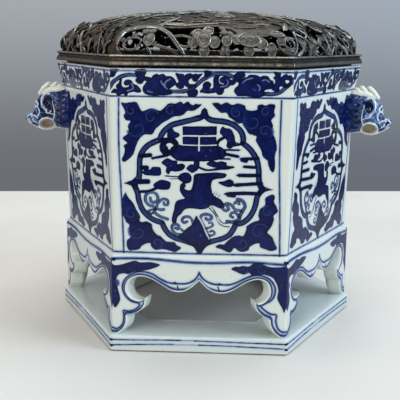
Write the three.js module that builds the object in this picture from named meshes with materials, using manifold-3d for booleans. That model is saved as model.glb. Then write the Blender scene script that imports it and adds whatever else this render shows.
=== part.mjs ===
// Hexagonal porcelain incense burner with a pierced metal cover, a copper liner and its ash.
// Units are millimetres and +Z is up. The origin is under the middle of the base ring, on
// the surface that the burner stands on. +X points at the right handle, -Y is the front.
import * as THREE from "three";
import { mergeVertices } from "three/addons/utils/BufferGeometryUtils.js";
import Module from "manifold-3d";

const wasm = await Module();
wasm.setup();

// Plan of the burner: a hexagon of six equal edges, a little flattened. Each pull is the share
// of an edge that its two side corners lie inside those of a regular hexagon. The edge at the
// top of the walls sets those of the other levels, each a step away from its neighbour.
const wallTopEdge = 90;
const wallTaper = 2.3;
const footStep = 2.1;
const ringStep = 2;
const bandFlare = 0.3;
const coverOverhang = 0.4;
const wallBottomEdge = wallTopEdge - wallTaper;
const footEdge = wallBottomEdge + footStep;
const ringEdge = footEdge + ringStep;
const bandTopEdge = wallTopEdge + bandFlare;
const coverRimEdge = bandTopEdge + coverOverhang;
const bodyCornerPull = 0.051;
const mouthCornerPull = 0.0155;

// Gaps between the pieces
const lutingGap = 0.3;
const seatGap = 0.3;
const linerClearance = 3;
const flangeClearance = 1.2;
const ashClearance = 0.35;

// Base ring that the feet stand on
const ringHeight = 8.7;
const ringWidth = 27;
const ringEdgeRound = 1.6;
const ringFootInset = 0.6;

// Foot: six pierced aprons under a chamfered floor slab
const apronHeight = 36.7;
const apronThickness = 7.5;
const floorThickness = 6;
const floorChamfer = 3.4;
const floorShelf = 0.3;

// Outline of one apron's opening
const cuspDepth = 6.5;
const lobeReach = 11.6;
const lobeDepth = 13.2;
const cornerLobeInset = 13.4;
const cornerLobeDepth = 12.7;
const cornerLobeRadius = 6.5;
const legCuspInset = 19;
const legCuspHeight = 21.4;
const legCuspLean = 3;
const legNotchInset = 6.6;
const legNotchHeight = 10.6;
const footTipWidth = 2.8;
const cutOverrun = 1;

// Walls of the vessel and the flared band round its mouth
const wallHeight = 79.2;
const wallThickness = 7;
const bandHeight = 14;
const bandThickness = 9;
const lipRound = 1.2;

// Copper liner and the bed of ash in it
const linerHeight = 70;
const linerWall = 1.4;
const linerRollWidth = 2.4;
const linerRollHeight = 2;
const ashDepth = 48;
const ashPeakHeight = 5;
const ashPeakEdge = 7;

// Cover: a locating flange, a collar that sits on the lip, the rim moulding and the dome
const coverRimHeight = 5.1;
const coverRimWidth = 11;
const beadDepth = 0.9;
const collarInset = 5.5;
const collarWidth = 8;
const collarHeight = 1;
const flangeHeight = 8;
const flangeWall = 1.5;
const domeInset = 2.2;
const domeHeight = 21.8;
const domeWall = 2.4;
const domeRoundness = 2.5;
const domeCornerSharpness = 36;

// Piercings and blossoms of the dome. Each row says how many there are, how far up they lie
// and their turn, and the half sizes of a piercing are shares of the dome's height.
const piercingRows = [
  { count: 18, climb: 0.14, turn: 10, wide: 0.29, high: 0.14 },
  { count: 18, climb: 0.38, turn: 0, wide: 0.24, high: 0.2 },
  { count: 12, climb: 0.58, turn: 15, wide: 0.25, high: 0.22 },
  { count: 6, climb: 0.78, turn: 30, wide: 0.29, high: 0.22 },
];
const blossomRows = [
  { count: 12, climb: 0.26, turn: 0 },
  { count: 6, climb: 0.48, turn: 30 },
  { count: 6, climb: 0.7, turn: 0 },
  { count: 1, climb: 1, turn: 0 },
];
const piercingDepth = 12;
const petalCount = 5;
const petalSteps = 4;
const blossomRadius = 7.6;
const petalNotchRadius = 4.4;
const petalRise = 1;
const blossomEyeRadius = 2.6;
const blossomEyeRise = 1.8;
const blossomSink = 0.9;

// Beast-head handles on the side corners, under the band. Their outlines are drawn on a grid
// that has as many squares as headGridRows in the height of the head.
const headHeight = 25.4;
const headGridRows = 25.4;
const headCurveSteps = 4;
const handleThickness = 17;
const handleBevel = 1.8;
const crestThickness = 9;
const mouthLength = 9.4;
const mouthHeight = 6.4;
const mouthReach = 10.4;
const mouthLevel = 5;
const mouthPocketDepth = 6;

// Levels, from the surface upwards
const apronBottom = ringHeight + lutingGap;
const floorBottom = apronBottom + apronHeight + lutingGap;
const floorTop = floorBottom + floorThickness;
const wallBottom = floorTop + lutingGap;
const wallTop = wallBottom + wallHeight;
const bandBottom = wallTop + lutingGap;
const lipTop = bandBottom + bandHeight;
const collarBottom = lipTop + seatGap;
const rimBottom = collarBottom + collarHeight + seatGap;
const rimTop = rimBottom + coverRimHeight;
const domeBottom = rimTop + seatGap;
const linerBottom = floorTop + seatGap;
const linerTop = linerBottom + linerHeight;

const glaze = { color: 0xdde5e3, roughness: 0.12, metalness: 0 };
const bronze = { color: 0x4b443f, roughness: 0.42, metalness: 0.85 };
const copper = { color: 0x96583a, roughness: 0.45, metalness: 0.9 };
const ash = { color: 0xb7b2a8, roughness: 1, metalness: 0 };

const burner = new THREE.Group();
const cover = new THREE.Group();
const liner = new THREE.Group();
burner.add(cover, liner);

function addPiece(group, name, geometry, finish) {
  const mesh = new THREE.Mesh(geometry, new THREE.MeshStandardMaterial(finish));
  mesh.name = name;
  group.add(mesh);
}

// How far the front and back sides of the plan lie from its middle.
function hexagonDepth(edge, pull) {
  return edge * Math.sqrt(1 - (0.5 - pull) ** 2);
}

// The six corners of the plan, counter-clockwise from the right side corner.
function hexagon(edge, pull) {
  const side = edge * (1 - pull);
  const half = edge / 2;
  const depth = hexagonDepth(edge, pull);
  return [
    [side, 0], [half, depth], [-half, depth], [-side, 0], [-half, -depth], [half, -depth],
  ].map(([x, y]) => new THREE.Vector2(x, y));
}

// The same outline with every side moved inwards by a distance.
function inset(corners, distance) {
  const inward = corners.map((corner, i) => {
    const along = corners[(i + 1) % corners.length].clone().sub(corner).normalize();
    return new THREE.Vector2(-along.y, along.x);
  });
  return corners.map((corner, i) => {
    const before = inward[(i + corners.length - 1) % corners.length];
    const sum = before.clone().add(inward[i]);
    return corner.clone().addScaledVector(sum, distance / (1 + before.dot(inward[i])));
  });
}

// A level is an outline at a height.
function level(corners, z) {
  return corners.map((corner) => new THREE.Vector3(corner.x, corner.y, z));
}

// Joins outlines of as many points each, one after the other. A ring joins its last to its
// first, and any other stack is closed with a cap at both ends.
function stack(levels, ring = false) {
  const count = levels[0].length;
  const positions = levels.flat().flatMap((point) => [point.x, point.y, point.z]);
  const triangles = [];
  const bands = ring ? levels.length : levels.length - 1;
  for (let k = 0; k < bands; k += 1) {
    const low = k * count;
    const high = ((k + 1) % levels.length) * count;
    for (let i = 0; i < count; i += 1) {
      const j = (i + 1) % count;
      triangles.push(low + i, low + j, high + j, low + i, high + j, high + i);
    }
  }
  if (!ring) {
    const last = (levels.length - 1) * count;
    for (let i = 1; i < count - 1; i += 1) {
      triangles.push(0, i + 1, i, last, last + i, last + i + 1);
    }
  }
  const geometry = new THREE.BufferGeometry();
  geometry.setAttribute("position", new THREE.Float32BufferAttribute(positions, 3));
  geometry.setIndex(triangles);
  return facingOut(geometry);
}

// Turns every face over if the closed surface encloses a negative volume.
function facingOut(geometry) {
  const position = geometry.getAttribute("position");
  const index = geometry.getIndex().array;
  const corner = [0, 1, 2].map(() => new THREE.Vector3());
  let volume = 0;
  for (let k = 0; k < index.length; k += 3) {
    corner.forEach((point, i) => point.fromBufferAttribute(position, index[k + i]));
    volume += corner[0].dot(corner[1].clone().cross(corner[2]));
  }
  if (volume < 0) {
    for (let k = 0; k < index.length; k += 3) {
      [index[k + 1], index[k + 2]] = [index[k + 2], index[k + 1]];
    }
  }
  return geometry;
}

// Moves between a geometry with merged vertices and a solid that can be cut and joined.
function toSolid(geometry) {
  const bare = geometry.clone();
  bare.deleteAttribute("normal");
  bare.deleteAttribute("uv");
  const merged = facingOut(mergeVertices(bare, 1e-4));
  return new wasm.Manifold(new wasm.Mesh({
    numProp: 3,
    vertProperties: new Float32Array(merged.getAttribute("position").array),
    triVerts: new Uint32Array(merged.getIndex().array),
  }));
}

function toGeometry(solid) {
  const mesh = solid.getMesh();
  const geometry = new THREE.BufferGeometry();
  geometry.setAttribute("position", new THREE.Float32BufferAttribute(mesh.vertProperties, 3));
  geometry.setIndex(Array.from(mesh.triVerts));
  return geometry;
}

const bodyAt = (edge, z, distance = 0) => level(inset(hexagon(edge, bodyCornerPull), distance), z);
const mouthAt = (edge, z, distance = 0) => level(inset(hexagon(edge, mouthCornerPull), distance), z);
const faceNames = ["back_right", "back", "back_left", "front_left", "front", "front_right"];

// How far a mitred end is drawn back along its side to leave half of the luting gap.
const mitreStep = lutingGap / 2 / Math.sin(Math.PI / 3);

// The prism over one side of the plan between its outer edge and a depth behind it, with its
// mitred ends drawn back.
function mitredSlab(outerLow, outerHigh, thickness, face) {
  const next = (face + 1) % 6;
  const section = (outline) => {
    const plan = outline.map((point) => new THREE.Vector2(point.x, point.y));
    const inner = inset(plan, thickness);
    const along = plan[next].clone().sub(plan[face]).normalize();
    const step = along.multiplyScalar(mitreStep);
    const corners = [
      plan[face].clone().add(step), plan[next].clone().sub(step),
      inner[next].clone().sub(step), inner[face].clone().add(step),
    ];
    return level(corners, outline[0].z);
  };
  return stack([section(outerLow), section(outerHigh)]);
}

// Base ring: a flat hexagonal ring, rounded along its edges.
function baseRing() {
  const at = (z, distance) => bodyAt(ringEdge, z, distance);
  const halfRound = ringEdgeRound / 3;
  return stack([
    at(0, ringFootInset),
    at(ringFootInset * 2, 0),
    at(ringHeight - ringEdgeRound, 0),
    at(ringHeight - halfRound, halfRound),
    at(ringHeight, ringEdgeRound),
    at(ringHeight, ringWidth - halfRound),
    at(ringHeight - halfRound, ringWidth),
    at(0, ringWidth),
  ], true);
}

// One half of an apron's lower outline, from the cusp in the middle to the foot's tip: a
// hanging lobe, a round lobe in the upper corner, the cusp on the leg and the curved foot.
function halfApronCurve(half, height) {
  const lobeBottom = height - lobeDepth;
  const lobeCentre = new THREE.Vector2(half - cornerLobeInset, height - cornerLobeDepth);
  const lobeTop = lobeCentre.y + cornerLobeRadius;
  const curve = new THREE.Path();
  curve.moveTo(0, height - cuspDepth);
  curve.quadraticCurveTo(lobeReach * 0.25, lobeBottom, lobeReach, lobeBottom);
  const rise = (lobeCentre.x - lobeReach) / 2;
  curve.bezierCurveTo(lobeReach + rise, lobeBottom, lobeCentre.x - rise, lobeTop,
    lobeCentre.x, lobeTop);
  curve.absarc(lobeCentre.x, lobeCentre.y, cornerLobeRadius, Math.PI / 2, -Math.PI * 0.4, true);
  const cusp = new THREE.Vector2(half - legCuspInset, legCuspHeight);
  curve.quadraticCurveTo(cusp.x + legCuspLean, lobeCentre.y - cornerLobeRadius, cusp.x, cusp.y);
  const notch = new THREE.Vector2(half - legNotchInset, legNotchHeight);
  curve.bezierCurveTo(cusp.x, (cusp.y + notch.y) / 2, cusp.x + legCuspLean, notch.y,
    notch.x, notch.y);
  curve.quadraticCurveTo(notch.x, notch.y / 3, half - footTipWidth, 0);
  return curve.getPoints(5);
}

// Apron: the pierced slab cut out of a plank and mitred to its two neighbours.
function apron(face) {
  const half = footEdge / 2;
  const right = halfApronCurve(half, apronHeight);
  const left = right.slice(1).reverse().map((point) => new THREE.Vector2(-point.x, point.y));
  const outline = new THREE.Shape([
    ...left, ...right,
    new THREE.Vector2(half + cutOverrun, 0), new THREE.Vector2(half + cutOverrun, apronHeight),
    new THREE.Vector2(-half - cutOverrun, apronHeight), new THREE.Vector2(-half - cutOverrun, 0),
  ]);
  const plank = new THREE.ExtrudeGeometry(outline, {
    depth: apronThickness + 2 * cutOverrun, bevelEnabled: false, steps: 1,
  });
  const corners = hexagon(footEdge, bodyCornerPull);
  const start = corners[face];
  const end = corners[(face + 1) % 6];
  const along = end.clone().sub(start).normalize();
  const middle = start.clone().add(end).multiplyScalar(0.5);
  const inward = new THREE.Vector3(-along.y, along.x, 0);
  plank.translate(0, 0, -cutOverrun);
  plank.applyMatrix4(new THREE.Matrix4().makeBasis(
    new THREE.Vector3(along.x, along.y, 0), new THREE.Vector3(0, 0, 1), inward,
  ).setPosition(middle.x, middle.y, apronBottom));
  const wedge = mitredSlab(bodyAt(footEdge, apronBottom - cutOverrun),
    bodyAt(footEdge, apronBottom + apronHeight + cutOverrun), apronThickness, face);
  return toGeometry(toSolid(plank).intersect(toSolid(wedge)));
}

// Floor slab: the vessel's bottom, with the chamfered ledge that shows all round.
function floorSlab() {
  const depthAt = (edge) => hexagonDepth(edge, bodyCornerPull);
  const ledge = depthAt(footEdge) - depthAt(wallBottomEdge) - floorShelf;
  return stack([
    bodyAt(footEdge, floorBottom),
    bodyAt(footEdge, floorTop - floorChamfer),
    bodyAt(footEdge, floorTop, ledge),
  ]);
}

// One side of the mouth band, which flares from the walls' plan to the mouth's and ends in a
// rounded lip. Its mitred ends are drawn back by half of the luting gap.
function bandSlab(face) {
  const next = (face + 1) % 6;
  const lip = (z, distance) => mouthAt(bandTopEdge, z, distance);
  const section = [
    bodyAt(wallTopEdge, bandBottom),
    lip(lipTop - lipRound, 0),
    lip(lipTop - lipRound / 3, lipRound / 3),
    lip(lipTop, lipRound),
    lip(lipTop, bandThickness - lipRound),
    lip(lipTop - lipRound, bandThickness),
    bodyAt(wallTopEdge, bandBottom, wallThickness),
  ];
  const end = (corner, other) => section.map((outline) => {
    const step = outline[other].clone().sub(outline[corner]).normalize();
    return outline[corner].clone().addScaledVector(step, mitreStep);
  });
  return stack([end(face, next), end(next, face)]);
}

// Liner: a folded copper pan with its rim rolled inwards.
const linerInset = wallThickness + linerClearance;
function linerPan() {
  const at = (z, distance) => bodyAt(wallBottomEdge, z, linerInset + distance);
  return stack([
    at(linerBottom, 0),
    at(linerTop - linerWall / 2, 0),
    at(linerTop, linerWall / 2),
    at(linerTop, linerRollWidth),
    at(linerTop - linerRollHeight, linerRollWidth),
    at(linerTop - linerRollHeight, linerWall),
    at(linerBottom + linerWall, linerWall),
  ]);
}

function ashBed() {
  const bottom = linerBottom + linerWall + ashClearance;
  const distance = linerInset + linerWall + ashClearance;
  return stack([
    bodyAt(wallBottomEdge, bottom, distance),
    bodyAt(wallBottomEdge, bottom + ashDepth, distance),
    bodyAt(ashPeakEdge, bottom + ashDepth + ashPeakHeight, 0),
  ]);
}

// Cover: flange inside the mouth, collar on the lip and the moulded rim.
function coverFlange() {
  const outer = bandThickness + flangeClearance;
  const at = (z, distance) => mouthAt(bandTopEdge, z, distance);
  const bottom = lipTop - flangeHeight;
  return stack([
    at(bottom, outer), at(lipTop, outer), at(lipTop, outer + flangeWall),
    at(bottom, outer + flangeWall),
  ], true);
}

function coverCollar() {
  const at = (z, distance) => mouthAt(coverRimEdge, z, distance);
  const top = collarBottom + collarHeight;
  return stack([
    at(collarBottom, collarInset), at(top, collarInset),
    at(top, collarInset + collarWidth), at(collarBottom, collarInset + collarWidth),
  ], true);
}

function coverRim() {
  const at = (share, distance) => (
    mouthAt(coverRimEdge, rimBottom + coverRimHeight * share, distance));
  return stack([
    at(0, beadDepth), at(0.15, 0), at(0.45, 0.1), at(0.55, beadDepth), at(0.7, beadDepth),
    at(0.82, beadDepth / 3), at(1, beadDepth), at(1, coverRimWidth), at(0, coverRimWidth),
  ], true);
}

// Dome: over a plan with softened corners, the height at a share of the way out from the
// middle follows a superellipse, so that it starts upright at the rim and is flat on top.
const domePlan = inset(hexagon(coverRimEdge, mouthCornerPull), domeInset);

function domePlanReach(angle, distance) {
  const plan = inset(domePlan, distance);
  const direction = new THREE.Vector2(Math.cos(angle), Math.sin(angle));
  let sum = 0;
  plan.forEach((corner, i) => {
    const along = plan[(i + 1) % 6].clone().sub(corner).normalize();
    const outward = new THREE.Vector2(along.y, -along.x);
    const share = Math.max(0, outward.dot(direction) / outward.dot(corner));
    sum += share ** domeCornerSharpness;
  });
  return 1 / sum ** (1 / domeCornerSharpness);
}

// A point of the dome at an angle round the axis and a climb from 0 at the rim to 1 on top.
function domePoint(angle, climb, depth = 0) {
  const turn = (climb * Math.PI) / 2;
  const reach = domePlanReach(angle, depth) * Math.cos(turn) ** (2 / domeRoundness);
  const rise = (domeHeight - depth) * Math.sin(turn) ** (2 / domeRoundness);
  return new THREE.Vector3(reach * Math.cos(angle), reach * Math.sin(angle), domeBottom + rise);
}

function domeNormal(angle, climb) {
  if (climb > 0.99) return new THREE.Vector3(0, 0, 1);
  const step = 0.01;
  const round = domePoint(angle + step, climb).sub(domePoint(angle - step, climb));
  const up = domePoint(angle, climb + step).sub(domePoint(angle, climb - step));
  return round.cross(up).normalize();
}

// The dome over its inner or outer face, drawn down by a distance below the rim.
function domeSolid(depth, dropBelow) {
  const columns = 36;
  const climbs = [0, 0.14, 0.3, 0.5, 0.74, 0.95];
  const ringAt = (climb) => Array.from({ length: columns }, (_, i) => (
    domePoint((i / columns) * Math.PI * 2, climb, depth)));
  const levels = climbs.map(ringAt);
  if (dropBelow > 0) {
    levels.unshift(levels[0].map((point) => point.clone().setZ(point.z - dropBelow)));
  }
  return toSolid(stack(levels));
}

// Places a geometry on the dome with its +Z along the outward normal.
function onDome(geometry, angle, climb, spin = 0) {
  const up = domeNormal(angle, climb);
  const across = new THREE.Vector3(-Math.sin(angle), Math.cos(angle), 0);
  const over = up.clone().cross(across).normalize();
  const frame = new THREE.Matrix4().makeBasis(over.clone().cross(up).normalize(), over, up);
  frame.setPosition(domePoint(angle, climb));
  geometry.rotateZ(spin);
  geometry.applyMatrix4(frame);
  return toSolid(geometry);
}

function piercing(row) {
  const outline = new THREE.Shape();
  outline.absellipse(0, 0, row.wide * domeHeight, row.high * domeHeight, 0, Math.PI * 2);
  const prism = new THREE.ExtrudeGeometry(outline, {
    depth: piercingDepth, bevelEnabled: false, curveSegments: 4,
  });
  return prism.translate(0, 0, -piercingDepth / 2);
}

// Blossom: a five-lobed disc with a round eye standing on it.
function blossom() {
  const steps = petalCount * petalSteps;
  const outline = new THREE.Shape(Array.from({ length: steps }, (_, i) => {
    const angle = (i / steps) * Math.PI * 2;
    const radius = petalNotchRadius
      + (blossomRadius - petalNotchRadius) * Math.abs(Math.cos((angle * petalCount) / 2));
    return new THREE.Vector2(radius * Math.cos(angle), radius * Math.sin(angle));
  }));
  const disc = new THREE.ExtrudeGeometry(outline, {
    depth: petalRise + blossomSink, bevelEnabled: false, steps: 1,
  });
  const eye = new THREE.CylinderGeometry(blossomEyeRadius * 0.7, blossomEyeRadius,
    blossomEyeRise + blossomSink, 8).rotateX(Math.PI / 2);
  eye.translate(0, 0, (blossomEyeRise + blossomSink) / 2);
  return toGeometry(toSolid(disc).add(toSolid(eye))).translate(0, 0, -blossomSink);
}

function rowAngles(row) {
  return Array.from({ length: row.count }, (_, i) => (
    THREE.MathUtils.degToRad(row.turn) + (i / row.count) * Math.PI * 2));
}

function coverDome() {
  let dome = domeSolid(0, 0).subtract(domeSolid(domeWall, domeWall));
  for (const row of piercingRows) {
    for (const angle of rowAngles(row)) {
      dome = dome.subtract(onDome(piercing(row), angle, row.climb));
    }
  }
  for (const row of blossomRows) {
    for (const angle of rowAngles(row)) {
      dome = dome.add(onDome(blossom(), angle, row.climb, angle));
    }
  }
  const seat = stack([
    mouthAt(coverRimEdge, domeBottom - piercingDepth), mouthAt(coverRimEdge, domeBottom),
  ]);
  return toGeometry(dome.subtract(toSolid(seat)));
}

// Beast head in profile: x is outwards from the side corner, y is up from the chin.
function headOutline() {
  const shape = new THREE.Shape();
  shape.moveTo(-6, 1.8);
  shape.lineTo(2, 1.8);
  shape.quadraticCurveTo(10, -1.6, 17, 1.9);
  shape.quadraticCurveTo(21, 4, 23, 7);
  shape.quadraticCurveTo(23.6, 11.6, 21, 11.6);
  shape.quadraticCurveTo(18.6, 11.2, 17.2, 13.6);
  shape.quadraticCurveTo(18.6, 16, 17, 18);
  shape.lineTo(15.4, 20.6);
  shape.lineTo(9, 26);
  shape.lineTo(-6, 26);
  return shape;
}

// Crest: a slanted horn bar along the brow and a ball next to the wall.
function crestOutline() {
  const shape = new THREE.Shape();
  shape.moveTo(-4, 23);
  shape.lineTo(14.2, 19.6);
  shape.quadraticCurveTo(16.2, 20.4, 15.8, 22);
  shape.lineTo(10.6, 29.6);
  shape.quadraticCurveTo(8.6, 31, 7.4, 28.6);
  shape.quadraticCurveTo(6.2, 26.8, 5.8, 28.4);
  shape.quadraticCurveTo(3.6, 31.6, 0.6, 28.4);
  shape.lineTo(-4, 27);
  return shape;
}

function uprightPlate(gridOutline, thickness, bevel) {
  const square = headHeight / headGridRows;
  const points = gridOutline.getPoints(headCurveSteps);
  const outline = new THREE.Shape(points.map((point) => point.multiplyScalar(square)));
  const plate = new THREE.ExtrudeGeometry(outline, {
    depth: thickness - 2 * bevel, bevelThickness: bevel, bevelSize: bevel,
    bevelOffset: -bevel, bevelSegments: 2, steps: 1,
  });
  plate.translate(0, 0, bevel - thickness / 2);
  return plate.rotateX(Math.PI / 2);
}

function mouthPocket(side) {
  const outline = new THREE.Shape();
  outline.absellipse(0, 0, mouthLength / 2, mouthHeight / 2, 0, Math.PI * 2, false, -0.12);
  const prism = new THREE.ExtrudeGeometry(outline, {
    depth: mouthPocketDepth + cutOverrun, bevelEnabled: false, curveSegments: headCurveSteps,
  });
  prism.rotateX(Math.PI / 2);
  const start = handleThickness / 2 - mouthPocketDepth;
  const end = handleThickness / 2 + cutOverrun;
  return prism.translate(mouthReach, side > 0 ? end : -start, mouthLevel);
}

function handle(side) {
  const foot = wallTop - headHeight;
  const place = (geometry) => {
    geometry.translate(wallTopEdge * (1 - bodyCornerPull), 0, foot);
    return toSolid(side > 0 ? geometry : geometry.scale(-1, 1, 1));
  };
  let head = place(uprightPlate(headOutline(), handleThickness, handleBevel));
  head = head.add(place(uprightPlate(crestOutline(), crestThickness, handleBevel / 2)));
  head = head.subtract(place(mouthPocket(1))).subtract(place(mouthPocket(-1)));
  const walls = stack([
    bodyAt(wallBottomEdge, wallBottom, -lutingGap), bodyAt(wallTopEdge, wallTop, -lutingGap),
    mouthAt(bandTopEdge, lipTop, -lutingGap),
  ]);
  return toGeometry(head.subtract(toSolid(walls)));
}

// Porcelain vessel
addPiece(burner, "base_ring", baseRing(), glaze);
faceNames.forEach((name, face) => addPiece(burner, `apron_${name}`, apron(face), glaze));
addPiece(burner, "floor_slab", floorSlab(), glaze);
faceNames.forEach((name, face) => {
  const slab = mitredSlab(bodyAt(wallBottomEdge, wallBottom), bodyAt(wallTopEdge, wallTop),
    wallThickness, face);
  addPiece(burner, `wall_${name}`, slab, glaze);
});
faceNames.forEach((name, face) => addPiece(burner, `band_${name}`, bandSlab(face), glaze));
addPiece(burner, "handle_right", handle(1), glaze);
addPiece(burner, "handle_left", handle(-1), glaze);

// Liner
addPiece(liner, "liner_pan", linerPan(), copper);
addPiece(liner, "ash_bed", ashBed(), ash);

// Cover
addPiece(cover, "cover_flange", coverFlange(), bronze);
addPiece(cover, "cover_collar", coverCollar(), bronze);
addPiece(cover, "cover_rim", coverRim(), bronze);
addPiece(cover, "cover_dome", coverDome(), bronze);

export default burner;
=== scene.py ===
# %% [markdown]
# This is a hexagonal incense burner of blue-and-white porcelain under a pierced bronze cover.
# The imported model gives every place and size, and the cells below dress it piece by piece.
# Lengths are worked out in millimetres, as a potter would, and become metres in the meshes.

import math

import bpy
import numpy as np
from mathutils import Matrix, Vector


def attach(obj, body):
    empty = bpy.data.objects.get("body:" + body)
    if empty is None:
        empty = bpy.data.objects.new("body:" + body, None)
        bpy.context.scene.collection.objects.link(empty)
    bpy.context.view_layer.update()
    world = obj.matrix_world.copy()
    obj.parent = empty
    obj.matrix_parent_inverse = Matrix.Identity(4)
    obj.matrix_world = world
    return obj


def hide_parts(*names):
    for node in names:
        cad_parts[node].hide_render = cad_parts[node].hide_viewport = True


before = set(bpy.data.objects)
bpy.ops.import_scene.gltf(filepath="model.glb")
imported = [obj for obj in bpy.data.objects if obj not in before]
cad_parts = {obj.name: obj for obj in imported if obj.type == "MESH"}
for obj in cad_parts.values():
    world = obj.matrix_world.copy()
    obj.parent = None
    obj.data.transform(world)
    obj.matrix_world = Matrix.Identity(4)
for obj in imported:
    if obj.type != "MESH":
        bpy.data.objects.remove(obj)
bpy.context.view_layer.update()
MM = 0.001


# %% [markdown]
# The camera stands a little to the right of the middle and looks down by about eleven
# degrees. A matrix built from its three directions places it exactly, where aiming it at a
# point would leave the small roll out.

# %% Camera
YAW, PITCH, ROLL = (math.radians(degrees) for degrees in (-2.662, 11.504, 0.64))
CAMERA_AT, LENS, SENSOR = (0.01847, -0.47777, 0.16211), 72.81, 36.0


def photo_camera():
    """The view direction comes from the yaw and the pitch, and the roll turns the other two."""
    ahead = Vector((math.sin(YAW) * math.cos(PITCH), math.cos(YAW) * math.cos(PITCH),
                    -math.sin(PITCH)))
    level_right = Vector((math.cos(YAW), -math.sin(YAW), 0))
    level_up = level_right.cross(ahead)
    right = math.cos(ROLL) * level_right + math.sin(ROLL) * level_up
    up = -math.sin(ROLL) * level_right + math.cos(ROLL) * level_up
    data = bpy.data.cameras.new("photo_view")
    data.lens, data.sensor_width, data.clip_start = LENS, SENSOR, 0.01
    camera = bpy.data.objects.new("photo_view", data)
    bpy.context.scene.collection.objects.link(camera)
    camera.matrix_world = Matrix((*zip(right, up, -ahead, CAMERA_AT), (0, 0, 0, 1)))
    bpy.context.scene.camera = camera
    return camera


bpy.context.scene.view_settings.view_transform = "Standard"
print("camera at", tuple(photo_camera().matrix_world.translation))


# %% [markdown]
# A node tree is a list of small steps. The class below wraps the output of one step, so that
# sums, products, ramps and blends of it read as plain sentences, and each of them adds one
# node to the tree. A value may be a number, a colour or another step.

# %% Node helpers
def fill(node, values):
    """Wires or sets the inputs of a node, which are given in order or by name."""
    for key, value in values.items() if isinstance(values, dict) else enumerate(values):
        if isinstance(value, Step):
            value.tree.links.new(value.socket, node.inputs[key])
        elif value is not None:
            node.inputs[key].default_value = value
    return node


def add_node(tree, kind, values=(), **settings):
    node = tree.nodes.new("ShaderNode" + kind)
    for name, setting in settings.items():
        setattr(node, name, setting)
    return fill(node, values)


class Step:
    """An output in a node tree. What is worked out from it becomes a node of the same tree."""

    def __init__(self, socket):
        self.socket, self.tree = socket, socket.id_data

    def maths(self, operation, other=None, clamp=False):
        node = add_node(self.tree, "Math", (self, other), operation=operation, use_clamp=clamp)
        return Step(node.outputs[0])

    def __add__(self, other):
        return self.maths("ADD", other)

    def __sub__(self, other):
        return self.maths("SUBTRACT", other)

    def __mul__(self, other):
        return self.maths("MULTIPLY", other)

    def mix(self, first, second, kind="MIX"):
        """A colour: the first where this step is 0, and the second where it is 1."""
        return Step(add_node(self.tree, "Mix", {0: self, 6: first, 7: second}, data_type="RGBA",
                             blend_type=kind).outputs[2])

    def ramp(self, low, high, to_low=0.0, to_high=1.0):
        """Goes smoothly from to_low, where this step is low, to to_high, where it is high."""
        return Step(add_node(self.tree, "MapRange", (self, low, high, to_low, to_high),
                             interpolation_type="SMOOTHSTEP").outputs[0])

    def noise(self, scale, detail=3.0, roughness=0.55):
        values = {"Vector": self, "Scale": scale, "Detail": detail, "Roughness": roughness}
        return Step(add_node(self.tree, "TexNoise", values).outputs["Fac"])

    def bump(self, strength, distance, normal=None):
        values = {"Height": self, "Strength": strength, "Distance": distance, "Normal": normal}
        return Step(add_node(self.tree, "Bump", values).outputs["Normal"])

    def parts(self):
        """The x, y and z of a place."""
        return [Step(socket) for socket in add_node(self.tree, "SeparateXYZ", [self]).outputs]


def object_place(tree):
    return Step(add_node(tree, "TexCoord").outputs["Object"])


def attribute(tree, name):
    """The number that a mesh keeps under a name."""
    return Step(add_node(tree, "Attribute", attribute_name=name).outputs["Fac"])


def new_material(name):
    """A material, its Principled node, and the place on the object as a first step."""
    material = bpy.data.materials.new(name)
    material.use_nodes = True
    tree = material.node_tree
    return material, tree.nodes["Principled BSDF"], object_place(tree)


# %% [markdown]
# The burner stands on a pale cloth whose far edge ends a hand's breadth behind it, in front
# of a plain grey room. The world shows that grey to the camera and to shiny surfaces only,
# and lights the object with a neutral tone of its own.

# %% Cloth and room
TABLE_FRONT, TABLE_BACK, TABLE_SIDE, TABLE_DEEP = -1800.0, 366.0, 1500.0, -600.0
EDGE_ROUND, EDGE_SLANT = 12.0, 0.105


def cloth_material():
    """For shiny surfaces only, the cloth is painted greyer close by and dark farther out: a painted
    darker reflection.
    """
    material, shader, place = new_material("table_cloth")
    folds, weave = place.noise(7.0, 2.0, 0.5), place.noise(900.0, 1.0)
    # The tone follows the folds, paler on their crests and greyer in their hollows: a painted
    # shading of the folds besides their bump.
    tone = folds.mix((0.60, 0.585, 0.55, 1), (0.70, 0.69, 0.66, 1))
    away = Step(add_node(place.tree, "VectorMath", [place], operation="LENGTH").outputs["Value"])
    reflected = away.ramp(0.28, 0.42).mix((0.36, 0.35, 0.37, 1), (0.05, 0.052, 0.06, 1))
    mirrored = Step(add_node(place.tree, "LightPath").outputs["Is Glossy Ray"])
    fill(shader, {"Base Color": mirrored.mix(tone, reflected), "Roughness": 0.95,
                  "Specular IOR Level": 0.2,
                  "Normal": weave.bump(0.25, 0.0004, folds.bump(0.5, 0.02))})
    return material


def table_top():
    """A flat sheet whose far edge runs askew and turns down round a quarter circle."""
    turn = np.linspace(0, math.pi / 2, 7)[1:]
    depth = np.concatenate(([TABLE_FRONT], np.linspace(-300, TABLE_BACK, 8),
                            TABLE_BACK + EDGE_ROUND * np.sin(turn), [TABLE_BACK + EDGE_ROUND]))
    height = np.concatenate((np.zeros(9), EDGE_ROUND * np.cos(turn) - EDGE_ROUND, [TABLE_DEEP]))
    across = np.linspace(-TABLE_SIDE, TABLE_SIDE, 9)
    grid = np.zeros((len(depth), len(across), 3))
    grid[..., 0], grid[..., 1], grid[..., 2] = across, depth[:, None], height[:, None]
    grid[1:, :, 1] += EDGE_SLANT * across
    return grid


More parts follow.
